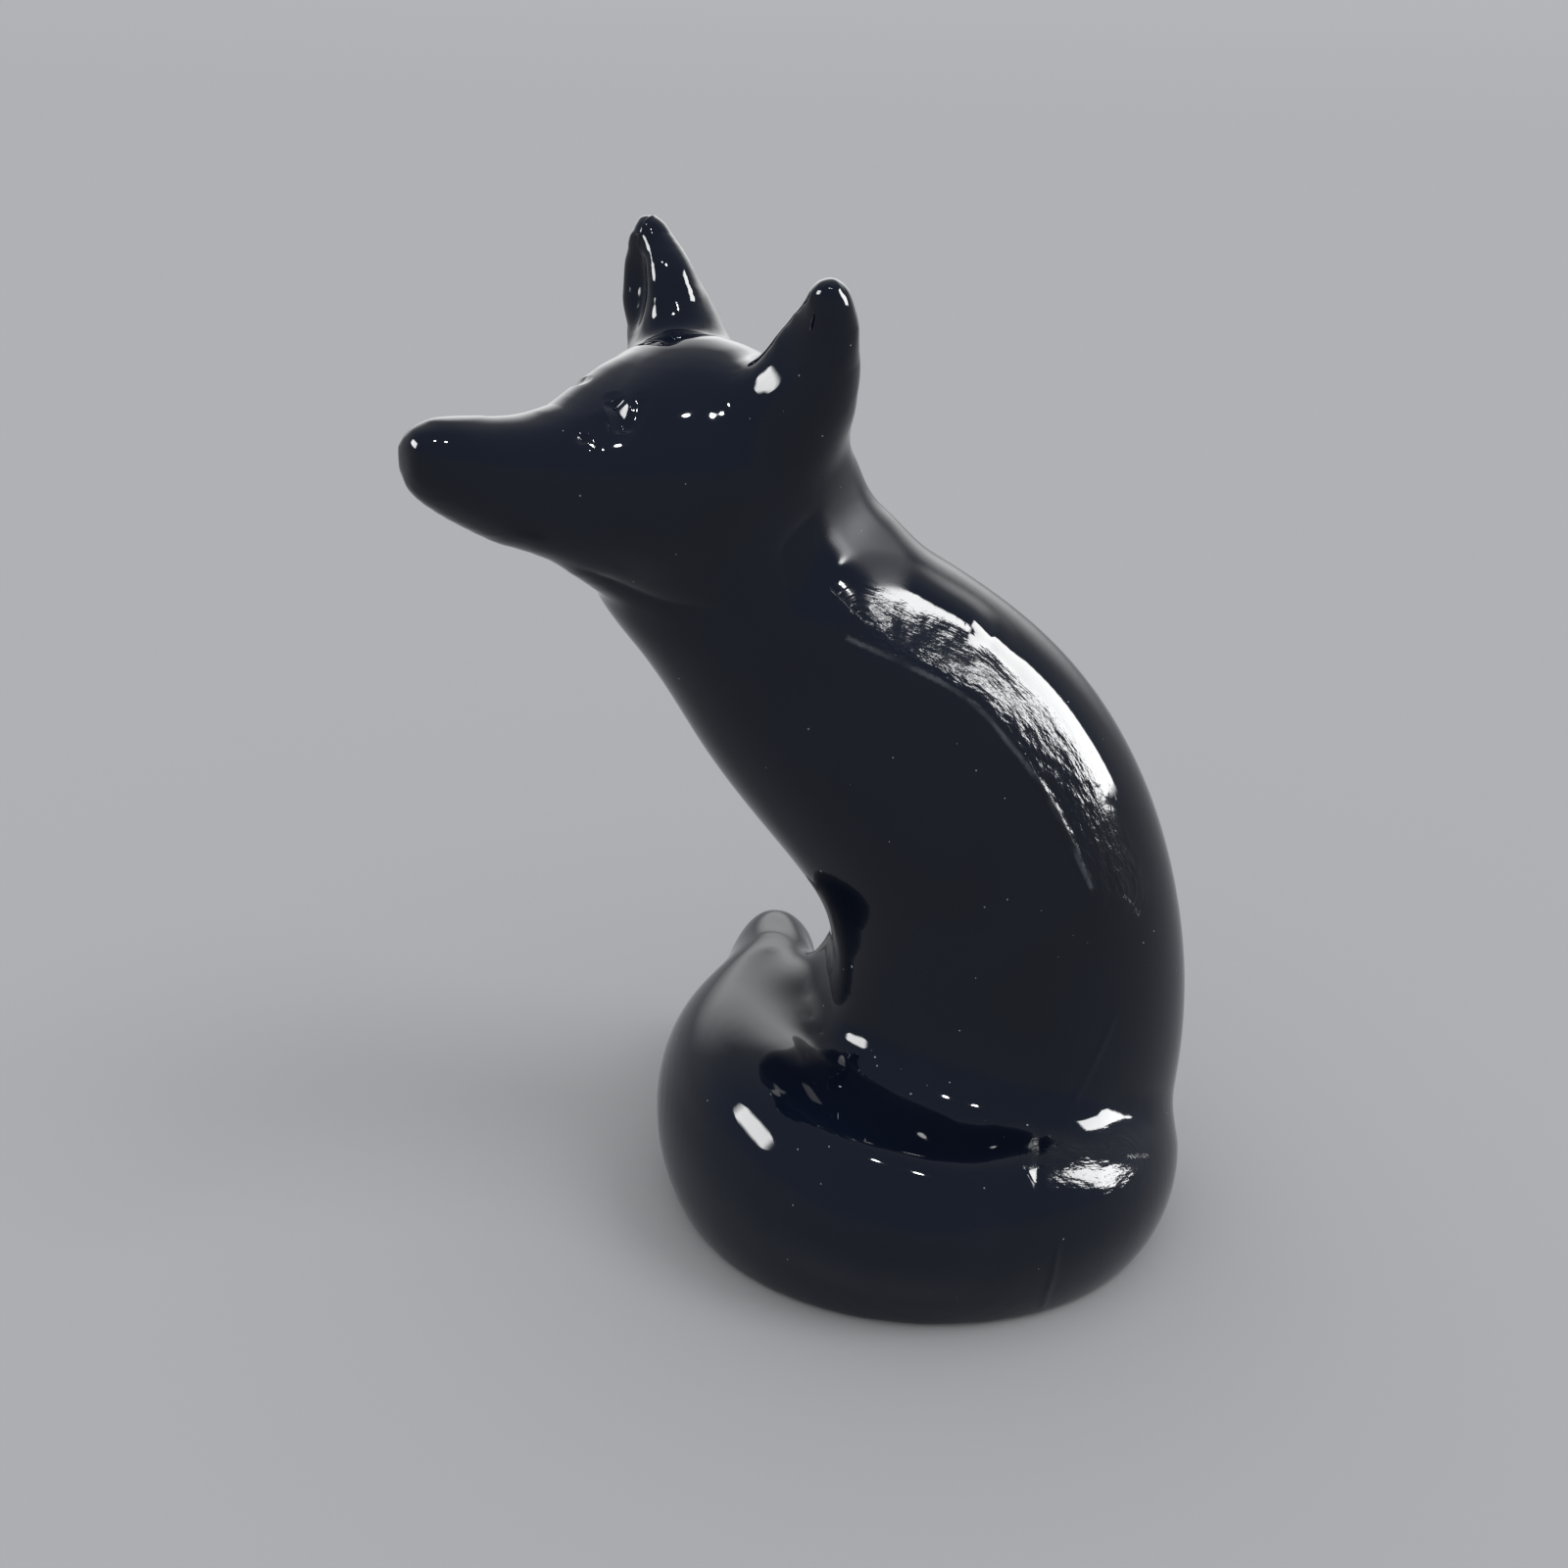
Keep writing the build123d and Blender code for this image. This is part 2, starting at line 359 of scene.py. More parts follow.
@dataclass(frozen=True)
class Stroke:
    """A ridge or groove along a line, in millimetres. A negative height is pressed in."""

    line: PhotoLine | HeadLine
    half_width: float
    height: float
    profile: Profile = Profile.ROUND
    end_fade: float = 2.0


@dataclass(frozen=True)
class Melt:
    """A line along which the glass has run smooth.

    The half width is in millimetres, and rounds is how often the line is smoothed.
    """

    line: PhotoLine | HeadLine
    half_width: float
    rounds: int


@dataclass(frozen=True)
class ChillBand:
    """A band where the glass chilled on the mould.

    The line is its middle, the half width is in millimetres, and the depth goes up to 1.
    """

    line: PhotoLine
    half_width: float
    depth: float


@dataclass(frozen=True)
class Blend:
    """A soft joint of two masses: how far it reaches, in millimetres, and how often it is smoothed.

    A mass that is named twice is softened all over.
    """

    first: str
    second: str
    reach: float
    rounds: int


class Casting:
    """The whole figure as one skin of glass, while it is shaped. Places are held in millimetres."""

    # Lengths: what counts as one place, how far solids swell to fuse, and how far a face's own solid may lie
    WELD = 0.001
    SWELL = 0.1
    HOME_REACH = 3.0
    # Strengths of smoothing: on joints and melts, and in the two steps that even the skin out
    PULL = 0.6
    EVEN_PULL = 0.5
    EVEN_PUSH = -0.52
    # How steeply joints, bands and fine patches set in from their edges, and how far a stroke's fade has
    # come at its very end
    JOINT_RISE = 1.3
    BAND_RISE = 1.4
    FINE_RISE = 4.0
    END_START = 0.35
    # How often fine patches and the borders of pieces are evened out
    FINE_ROUNDS = 20
    BORDER_ROUNDS = 12

    def __init__(self, nodes: dict[str, bpy.types.Object], voxel: float) -> None:
        """Fuse the solids.

        Args:
            nodes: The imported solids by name.
            voxel: Size of the grid that fuses them, in millimetres.
        """
        self.nodes = nodes
        self.names = sorted(nodes)
        self.mesh = self.fuse(voxel)
        self.read()

    def fuse(self, voxel: float) -> bpy.types.Mesh:
        """Join copies of the solids into one closed skin.

        Args:
            voxel: Size of the grid, in millimetres.

        Returns:
            The fused mesh.
        """
        joined = bmesh.new()
        for name in self.names:
            solid = opened(self.nodes[name].data)
            bmesh.ops.remove_doubles(solid, verts=solid.verts, dist=self.WELD * MM)
            solid.normal_update()
            for vertex in solid.verts:
                vertex.co += vertex.normal * (self.SWELL * MM)
            copy = written("solid_copy", solid)
            joined.from_mesh(copy)
            bpy.data.meshes.remove(copy)
        mesh = written("joined_solids", joined)
        return self.finished(mesh, "REMESH", mode="VOXEL", voxel_size=voxel * MM)

    def finished(self, mesh: bpy.types.Mesh, kind: str, **settings: float | str) -> bpy.types.Mesh:
        """Run one modifier on a mesh.

        Args:
            mesh: The mesh, which is used up.
            kind: The modifier's type.
            **settings: Values of the modifier.

        Returns:
            The modifier's result.
        """
        holder = placed("casting", mesh)
        modifier = holder.modifiers.new(kind.lower(), kind)
        for name, value in settings.items():
            setattr(modifier, name, value)
        view = bpy.context.evaluated_depsgraph_get()
        result = bpy.data.meshes.new_from_object(holder.evaluated_get(view))
        bpy.data.objects.remove(holder)
        bpy.data.meshes.remove(mesh)
        return result

    def read(self) -> None:
        """Take the places and edges from the mesh."""
        self.places = taken(self.mesh.vertices, "co", np.float32, 3).astype(float) / MM
        self.edges = taken(self.mesh.edges, "vertices", np.int32, 2)
        self.settle()

    def settle(self) -> None:
        """Put the places back in the mesh, take its normals, and drop the old search tree."""
        self.mesh.vertices.foreach_set("co", (self.places * MM).astype(np.float32).ravel())
        self.mesh.update()
        self.normals = taken(self.mesh.vertex_normals, "vector", np.float32, 3).astype(float)
        self.tree = None

    def search_tree(self) -> BVHTree:
        """Give the search tree of the settled skin, which is made when it is first needed.

        Returns:
            The tree, in metres.
        """
        if self.tree is None:
            self.tree = tree_of(self.mesh)
        return self.tree

    def cast(self, origin: Vector, direction: Vector) -> np.ndarray | None:
        """Find where a ray meets the casting.

        Args:
            origin: Start of the ray, in millimetres.
            direction: Way of the ray.

        Returns:
            The place met first, in millimetres, or None.
        """
        place = self.search_tree().ray_cast(origin * MM, direction)[0]
        return None if place is None else np.array(place) / MM

    def nearest(self, place: Vector) -> np.ndarray:
        """Give the place of the skin that is nearest to a place, in millimetres."""
        return np.array(self.search_tree().find_nearest(place * MM)[0]) / MM

    def neighbour_mean(self, values: np.ndarray, edges: np.ndarray) -> np.ndarray:
        """Average a value over each vertex's neighbours.

        Args:
            values: One row for each vertex.
            edges: The edges that count. A vertex without any gets 0.

        Returns:
            The means, in rows of the same length.
        """
        count = len(values)
        first, second = edges[:, 0], edges[:, 1]
        degree = np.bincount(first, minlength=count) + np.bincount(second, minlength=count)
        means = np.empty(values.shape)
        for column in range(values.shape[1]):
            row = values[:, column]
            sums = np.bincount(first, row[second], count)
            means[:, column] = sums + np.bincount(second, row[first], count)
        return means / np.maximum(degree, 1)[:, None]

    def smooth(self, rounds: int, strength: float | np.ndarray) -> None:
        """Move each vertex towards the mean of its neighbours.

        Args:
            rounds: How many times.
            strength: How far each time, from 0 to 1, for all vertices alike or for each. Below 0 moves
                away.
        """
        share = np.broadcast_to(strength, len(self.places))
        moved = np.flatnonzero(share)
        edges = self.edges[(share != 0)[self.edges].any(axis=1)]
        for _ in range(rounds):
            means = self.neighbour_mean(self.places, edges)
            self.places[moved] += share[moved, None] * (means[moved] - self.places[moved])

    def even_out(self, rounds: int, share: float | np.ndarray = 1.0) -> None:
        """Take small steps out of the skin without shrinking it.

        Args:
            rounds: How many times.
            share: How strongly, from 0 to 1, for all vertices alike or for each.
        """
        for _ in range(rounds):
            self.smooth(1, self.EVEN_PULL * share)
            self.smooth(1, self.EVEN_PUSH * share)

    def gaps_to_solids(self, names: list[str], reach: float) -> dict[str, np.ndarray]:
        """Find each vertex's distance to some solids.

        Args:
            names: The solids.
            reach: The longest distance that is measured, in millimetres. What lies further counts as
                endless.

        Returns:
            The distances by the solids' names, in millimetres.
        """
        gaps = {}
        for name in names:
            tree = tree_of(self.nodes[name].data)
            low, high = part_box(name)
            low = np.array(low) / MM - reach
            high = np.array(high) / MM + reach
            gap = np.full(len(self.places), np.inf)
            inside = ((self.places > low) & (self.places < high)).all(axis=1)
            for index in np.flatnonzero(inside):
                distance = tree.find_nearest(self.places[index] * MM, reach * MM)[3]
                if distance is not None:
                    gap[index] = distance / MM
            gaps[name] = gap
        return gaps

    def soften(self, blends: tuple[Blend, ...]) -> None:
        """Blend masses into each other where they meet.

        Args:
            blends: The joints and how soft they are.
        """
        reach = max(blend.reach for blend in blends)
        names = {name for blend in blends for name in (blend.first, blend.second)}
        gaps = self.gaps_to_solids(sorted(names), reach)
        for blend in blends:
            away = np.maximum(gaps[blend.first], gaps[blend.second])
            depth = eased(self.JOINT_RISE - self.JOINT_RISE * away / blend.reach)
            self.smooth(blend.rounds, self.PULL * depth)

    def refine(self) -> None:
        """Divide every face in four, on a rounded surface."""
        self.mesh = self.finished(self.mesh, "SUBSURF", levels=1, render_levels=1)
        self.read()

    def away_from(self, centres: list[Vector]) -> np.ndarray:
        """Give each vertex's distance to the nearest of some places, in millimetres."""
        gaps = [np.linalg.norm(self.places - np.array(centre), axis=1) for centre in centres]
        return np.minimum.reduce(gaps)

    def refine_near(self, centres: list[Vector], reach: float) -> None:
        """Divide the faces once more near some places, where the details are fine.

        Args:
            centres: The places, in millimetres.
            reach: How far from them, in millimetres.
        """
        near = self.away_from(centres) < reach
        skin = opened(self.mesh)
        skin.edges.ensure_lookup_table()
        edges = [skin.edges[number] for number in np.flatnonzero(near[self.edges].all(axis=1))]
        bmesh.ops.subdivide_edges(skin, edges=edges, cuts=1, use_grid_fill=True)
        skin.to_mesh(self.mesh)
        skin.free()
        self.read()
        depth = eased(self.FINE_RISE * (1 - self.away_from(centres) / reach))
        self.even_out(self.FINE_ROUNDS, depth)
        self.settle()

    def near_line(self, line: np.ndarray, reach: float) -> tuple[np.ndarray, ...]:
        """Find the vertices near a line.

        Args:
            line: Places along the line.
            reach: The longest distance, in millimetres.

        Returns:
            The vertices' numbers, their distances, their offsets from the nearest place, and how far along
            the line that place is.
        """
        low, high = line.min(axis=0) - reach, line.max(axis=0) + reach
        near = np.flatnonzero(((self.places > low) & (self.places < high)).all(axis=1))
        spots = self.places[near]
        offsets = spots - line[0]
        best = np.linalg.norm(offsets, axis=1)
        along = np.zeros(len(near))
        travelled = 0.0
        for start, end in zip(line[:-1], line[1:]):
            run = end - start
            length = float(np.linalg.norm(run))
            if length < self.WELD:
                continue
            share = np.clip((spots - start) @ run / length**2, 0.0, 1.0)
            offset = spots - (start + share[:, None] * run)
            distance = np.linalg.norm(offset, axis=1)
            closer = distance < best
            best[closer] = distance[closer]
            offsets[closer] = offset[closer]
            along[closer] = travelled + share[closer] * length
            travelled += length
        kept = best < reach
        return near[kept], best[kept], offsets[kept], along[kept]

    def apply(self, stroke: Stroke) -> None:
        """Raise or press the skin along a stroke.

        Args:
            stroke: The stroke.
        """
        line = stroke.line.trace(self)
        near, distance, _, along = self.near_line(line, stroke.half_width)
        share = distance / stroke.half_width
        ends = np.ones(len(near))
        if len(line) > 1:
            total = float(np.linalg.norm(np.diff(line, axis=0), axis=1).sum())
            inward = np.minimum(along, total - along)
            ends = eased((inward + self.END_START * stroke.end_fade) / stroke.end_fade)
        lift = (1 - share**2) ** 2
        if stroke.profile is Profile.CREASE:
            lift = (1 - share) ** 2
        elif stroke.profile is Profile.WALL:
            lift = 1 - share
        self.places[near] += self.normals[near] * (stroke.height * lift * ends)[:, None]

    def melt(self, melt: Melt) -> None:
        """Smooth the skin along a line.

        Args:
            melt: The line and how much.
        """
        near, distance, _, _ = self.near_line(melt.line.trace(self), melt.half_width)
        strength = np.zeros(len(self.places))
        strength[near] = self.PULL * self.depth_in(distance, melt.half_width)
        self.smooth(melt.rounds, strength)
        self.settle()

    def depth_in(self, distance: np.ndarray, half_width: float) -> np.ndarray:
        """Tell how deep places lie in a band, from 0 on its edge to 1 on its middle."""
        return eased(self.BAND_RISE * (1 - distance / half_width))

    def mark_band(self, name: str, line: PhotoLine, half_width: float) -> None:
        """Store how deep each vertex lies in a band, from 0 outside to 1 on its middle.

        Args:
            name: Name of the attribute.
            line: The middle of the band.
            half_width: Half width of the band, in millimetres.
        """
        values = np.zeros(len(self.places), np.float32)
        near, distance, _, _ = self.near_line(line.trace(self), half_width)
        values[near] = self.depth_in(distance, half_width)
        layer = self.mesh.attributes.new(name, "FLOAT", "POINT")
        layer.data.foreach_set("value", values)

    def side_of(self, line: np.ndarray, near: np.ndarray, offset: np.ndarray) -> np.ndarray:
        """Tell on which side of a line vertices lie.

        Args:
            line: Places along the line.
            near: Numbers of the vertices.
            offset: Their offsets from the line.

        Returns:
            -1 on the right of the line and 1 on its left, seen from outside.
        """
        left = np.cross(self.normals[near], line[-1] - line[0])
        return np.sign(np.einsum("ij,ij->i", offset, left))

    def chart_bands(self, name: str, bands: tuple[ChillBand, ...]) -> np.ndarray:
        """Store each vertex's place in some bands: how far along and across, in millimetres, and how deep.

        Args:
            name: Name of the vector attribute.
            bands: The bands, which don't overlap.

        Returns:
            The depths, from 0 outside to a band's own depth on its middle.
        """
        chart = np.zeros((len(self.places), 3), np.float32)
        for band in bands:
            middle = band.line.trace(self)
            near, distance, offset, along = self.near_line(middle, band.half_width)
            chart[near, 0] = along
            chart[near, 1] = distance * self.side_of(middle, near, offset)
            chart[near, 2] = band.depth * self.depth_in(distance, band.half_width)
        layer = self.mesh.attributes.new(name, "FLOAT_VECTOR", "POINT")
        layer.data.foreach_set("vector", chart.ravel())
        return chart[:, 2].astype(float)

    def wrinkle(self, mask: np.ndarray, height: float, wave: float) -> None:
        """Ruffle the skin where a mask is set.

        Args:
            mask: How strongly, from 0 to 1, for each vertex.
            height: Height of the ruffles, in millimetres.
            wave: Their spacing, in millimetres.
        """
        for index in np.flatnonzero(mask > 0):
            lift = noise.noise(Vector(self.places[index]) / wave)
            self.places[index] += self.normals[index] * (height * mask[index] * lift)

    def stand(self) -> None:
        """Grind the base flat at the level of the floor."""
        self.places[:, 2] = np.maximum(self.places[:, 2], 0.0)

    def homes(self) -> np.ndarray:
        """Find the solid that each face belongs to, with even borders.

        Returns:
            For each face, the position of its solid in the list of names.
        """
        gaps = np.stack(list(self.gaps_to_solids(self.names, self.HOME_REACH).values()), axis=1)
        shares = np.zeros(gaps.shape)
        shares[np.arange(len(gaps)), gaps.argmin(axis=1)] = 1.0
        for _ in range(self.BORDER_ROUNDS):
            shares = (shares + self.neighbour_mean(shares, self.edges)) / 2
        corners = taken(self.mesh.loops, "vertex_index", np.int32)
        starts = taken(self.mesh.polygons, "loop_start", np.int32)
        return np.add.reduceat(shares[corners], starts, axis=0).argmax(axis=1)

    def part(self, flange: float, core_depth: float) -> dict[str, bpy.types.Object]:
        """Part the casting into closed pieces, one for each solid.

        Args:
            flange: How far a piece's edge is turned in below the skin, in millimetres.
            core_depth: How far the middle of a closing face lies below its edge, in millimetres.

        Returns:
            The pieces by the names of their solids.
        """
        homes = self.homes()
        numbers = self.mesh.attributes.new(SOURCE_VERTEX, "INT", "POINT")
        numbers.data.foreach_set("value", np.arange(len(self.places), dtype=np.int32))
        pieces = {}
        for index, name in enumerate(self.names):
            glass = opened(self.mesh)
            glass.faces.ensure_lookup_table()
            others = [glass.faces[number] for number in np.flatnonzero(homes != index)]
            bmesh.ops.delete(glass, geom=others, context="FACES")
            self.close(glass, flange, core_depth)
            pieces[name] = self.piece(name, glass)
        return pieces

    def close(self, glass: bmesh.types.BMesh, flange: float, core_depth: float) -> None:
        """Turn a piece's open edges in and close them with hollow cones below the skin.

        Args:
            glass: The piece's skin.
            flange: How far its edge is turned in, in millimetres.
            core_depth: How far the cones' tips lie below their edges, in millimetres.
        """
        for face in glass.faces:
            face.smooth = True
            face.material_index = int(all(vertex.co.z < self.WELD * MM for vertex in face.verts))
        skin = set(glass.faces)
        layer = glass.verts.layers.int[SOURCE_VERTEX]
        rim = [edge for edge in glass.edges if edge.is_boundary]
        turned = bmesh.ops.extrude_edge_only(glass, edges=rim)["geom"]
        for vertex in turned:
            if isinstance(vertex, bmesh.types.BMVert):
                vertex.co -= Vector(self.normals[vertex[layer]]) * (flange * MM)
        rim = [edge for edge in glass.edges if edge.is_boundary]
        lids = bmesh.ops.holes_fill(glass, edges=rim, sides=0)["faces"]
        tips = bmesh.ops.poke(glass, faces=lids, center_mode="MEAN")["verts"]
        for tip in tips:
            ring = [edge.other_vert(tip)[layer] for edge in tip.link_edges]
            tip[layer] = ring[0]
            tip.co -= Vector(self.normals[ring].mean(axis=0)) * (core_depth * MM)
        for face in glass.faces:
            face.smooth = face in skin

    def piece(self, name: str, glass: bmesh.types.BMesh) -> bpy.types.Object:
        """Make a piece's object, with the casting's own normals on its skin.

        Args:
            name: Name of its solid.
            glass: The closed piece, which is used up.

        Returns:
            The piece's object.
        """
        mesh = written(f"glass_{name}", glass)
        source = taken(mesh.attributes[SOURCE_VERTEX].data, "value", np.int32)
        mesh.attributes.remove(mesh.attributes[SOURCE_VERTEX])
        corners = taken(mesh.loops, "vertex_index", np.int32)
        skin = taken(mesh.polygons, "use_smooth", bool)
        sizes = taken(mesh.polygons, "loop_total", np.int32)
        normals = self.normals[source[corners]] * np.repeat(skin, sizes)[:, None]
        mesh.normals_split_custom_set(normals.tolist())
        return placed(f"glass_{name}", mesh)


@dataclass(frozen=True)
class Scatter:
    """A scatter of spots, one in some of the cells of an uneven grid.

    The cells' size and the spots' radius are in millimetres, and the share tells how many cells have a spot.
    """

    spacing: float
    size: float
    share: float


class NodeSheet:
    """A shorthand for wiring the nodes of a material, a lamp, the world or a group."""

    SPOT_CORE = 0.5

    def __init__(self, tree: bpy.types.NodeTree) -> None:
        """Hold the tree that the nodes go in."""
        self.tree = tree

    def add(self, kind: str, **settings: float | str | bool) -> bpy.types.Node:
        """Add a node.

        Args:
            kind: The node's type.
            **settings: Values of the node's own properties.

        Returns:
            The node.
        """
        node = self.tree.nodes.new(kind)
        for name, value in settings.items():
            setattr(node, name, value)
        return node

    def link(self, source: bpy.types.NodeSocket, target: bpy.types.NodeSocket) -> None:
        """Join an output to an input."""
        self.tree.links.new(source, target)

    def feed(self, socket: bpy.types.NodeSocket, value: "Feed") -> None:
        """Set an input to a plain value, or join it to an output.

        Args:
            socket: The input.
            value: A number, a colour, a vector or another node's output.
        """
        if isinstance(value, bpy.types.NodeSocket):
            self.link(value, socket)
        else:
            socket.default_value = value

    def maths(self, operation: str, *values: "Feed") -> bpy.types.NodeSocket:
        """Do a sum on numbers.

        Args:
            operation: Name of the Math node's operation.
            *values: Its inputs.

        Returns:
            The result's socket.
        """
        node = self.add("ShaderNodeMath", operation=operation)
        for socket, value in zip(node.inputs, values):
            self.feed(socket, value)
        return node.outputs["Value"]

    def most(self, *values: "Feed") -> bpy.types.NodeSocket:
        """Take the largest of some numbers.

        Args:
            *values: The numbers, two or more.

        Returns:
            The result's socket.
        """
        largest = values[0]
        for value in values[1:]:
            largest = self.maths("MAXIMUM", largest, value)
        return largest

    def attribute(self, name: str, output: str = "Fac") -> bpy.types.NodeSocket:
        """Give the socket of a vertex attribute."""
        return self.add("ShaderNodeAttribute", attribute_name=name).outputs[output]

    def split(self, vector: bpy.types.NodeSocket) -> bpy.types.NodeOutputs:
        """Take a vector apart.

        Args:
            vector: The vector.

        Returns:
            The sockets X, Y and Z.
        """
        node = self.add("ShaderNodeSeparateXYZ")
        self.link(vector, node.inputs["Vector"])
        return node.outputs

    def raise_by(self, height: bpy.types.NodeSocket, shader: bpy.types.Node) -> None:
        """Give a shader's surface a relief.

        Args:
            height: The relief's height, in millimetres.
            shader: The shader.
        """
        bump = self.add("ShaderNodeBump")
        bump.inputs["Distance"].default_value = MM
        self.link(height, bump.inputs["Height"])
        self.link(bump.outputs["Normal"], shader.inputs["Normal"])

    def ramp(self, value: "Feed", start: float, end: float) -> bpy.types.NodeSocket:
        """Map a number smoothly to the range from 0 to 1.

        Args:
            value: The number.
            start: Where the result is 0.
            end: Where the result is 1.

        Returns:
            The result's socket.
        """
        node = self.add("ShaderNodeMapRange", interpolation_type="SMOOTHSTEP")
        self.feed(node.inputs["Value"], value)
        self.feed(node.inputs["From Min"], start)
        self.feed(node.inputs["From Max"], end)
        return node.outputs["Result"]

    def blend(self, share: "Feed", first: "Feed", second: "Feed") -> bpy.types.NodeSocket:
        """Mix two colours.

        Args:
            share: How much of the second.
            first: One colour.
            second: The other.

        Returns:
            The mixture's socket.
        """
        node = self.add("ShaderNodeMix", data_type="RGBA")
        self.feed(node.inputs["Factor"], share)
        colours = [socket for socket in node.inputs if socket.type == "RGBA"]
        self.feed(colours[0], first)
        self.feed(colours[1], second)
        return next(socket for socket in node.outputs if socket.type == "RGBA")

    def mapped(self, place: bpy.types.NodeSocket, turn: Place, scale: Place) -> bpy.types.NodeSocket:
        """Turn and scale a pattern's coordinates.

        Args:
            place: The coordinates.
            turn: Turn about each axis, in degrees.
            scale: Scale along each axis.

        Returns:
            The new coordinates' socket.
        """
        node = self.add("ShaderNodeMapping")
        self.feed(node.inputs["Vector"], place)
        node.inputs["Rotation"].default_value = [math.radians(angle) for angle in turn]
        node.inputs["Scale"].default_value = scale
        return node.outputs["Vector"]

    def noise(self, place: bpy.types.NodeSocket, wave: float, detail: float = 2.0) -> bpy.types.NodeSocket:
        """Make a noise pattern.

        Args:
            place: Its coordinates, in metres.
            wave: Size of its patches, in millimetres.
            detail: How many finer layers it has.

        Returns:
            The socket of its value, from 0 to 1.
        """
        node = self.add("ShaderNodeTexNoise")
        self.feed(node.inputs["Vector"], place)
        node.inputs["Scale"].default_value = 1 / (wave * MM)
        node.inputs["Detail"].default_value = detail
        return node.outputs["Fac"]

    def spots(self, place: bpy.types.NodeSocket, scatter: Scatter) -> bpy.types.NodeSocket:
        """Scatter spots.

        Args:
            place: Coordinates, in metres.
            scatter: How large the spots are, and how many.

        Returns:
            The socket of a mask, 1 in the middle of a spot.
        """
        cells = self.add("ShaderNodeTexVoronoi")
        self.feed(cells.inputs["Vector"], place)
        cells.inputs["Scale"].default_value = 1 / (scatter.spacing * MM)
        edge = scatter.size / scatter.spacing
        near = self.ramp(cells.outputs["Distance"], edge, self.SPOT_CORE * edge)
        draw = self.add("ShaderNodeSeparateColor")
        self.link(cells.outputs["Color"], draw.inputs["Color"])
        chosen = self.maths("LESS_THAN", draw.outputs["Red"], scatter.share)
        return self.maths("MULTIPLY", near, chosen)


Feed = float | Colour | Place | bpy.types.NodeSocket


def new_material(name: str) -> tuple[bpy.types.Material, NodeSheet, bpy.types.Node]:
    """Start a material.

    Args:
        name: Its name.

    Returns:
        The material, the sheet of its nodes and its shader.
    """
    material = bpy.data.materials.new(name)
    material.use_nodes = True
    shader = material.node_tree.nodes["Principled BSDF"]
    return material, NodeSheet(material.node_tree), shader


@dataclass(frozen=True)
class HandlingMarks:
    """The marks of years on a shelf: dust specks, fine scratches and smears, as a node group."""

    NAME = "handling_marks"
    specks: Scatter = Scatter(spacing=4.5, size=0.2, share=0.16)
    lint: Scatter = Scatter(spacing=1.5, size=0.1, share=0.12)
    crease_dust: Scatter = Scatter(spacing=0.75, size=0.14, share=0.16)
    scratches: Scatter = Scatter(spacing=1.8, size=0.09, share=0.06)
    scratch_turns: tuple[Place, ...] = ((20.0, 35.0, 60.0), (75.0, -20.0, 10.0), (-40.0, 15.0, -65.0))
    scratch_stretch: Place = (0.05, 1.0, 1.0)
    smear_size: float = 14.0
    smear_detail: float = 5.0
    smear_turn: Place = (25.0, 40.0, 0.0)
    smear_stretch: Place = (1.0, 0.35, 1.0)
    smear_range: Range = (0.45, 0.75)

    def build(self) -> bpy.types.NodeTree:
        """Make the group.

        Returns:
            A group with the inputs Vector and Dust, and the outputs Speck, Scratch and Smear.
        """
        group = bpy.data.node_groups.new(self.NAME, "ShaderNodeTree")
        for name, kind in (("Vector", "NodeSocketVector"), ("Dust", "NodeSocketFloat")):
            group.interface.new_socket(name=name, in_out="INPUT", socket_type=kind)
        for name in ("Speck", "Scratch", "Smear"):
            group.interface.new_socket(name=name, in_out="OUTPUT", socket_type="NodeSocketFloat")
        sheet = NodeSheet(group)
        given = sheet.add("NodeGroupInput").outputs
        result = sheet.add("NodeGroupOutput").inputs
        place = given["Vector"]
        dusty = sheet.maths("MULTIPLY", sheet.spots(place, self.crease_dust), given["Dust"])
        specks = [sheet.spots(place, scatter) for scatter in (self.specks, self.lint)]
        sheet.link(sheet.most(*specks, dusty), result["Speck"])
        slender = [sheet.mapped(place, turn, self.scratch_stretch) for turn in self.scratch_turns]
        scratches = [sheet.spots(lines, self.scratches) for lines in slender]
        sheet.link(sheet.most(*scratches), result["Scratch"])
        streaked = sheet.mapped(place, self.smear_turn, self.smear_stretch)
        smears = sheet.noise(streaked, self.smear_size, self.smear_detail)
        sheet.link(sheet.ramp(smears, *self.smear_range), result["Smear"])
        return group


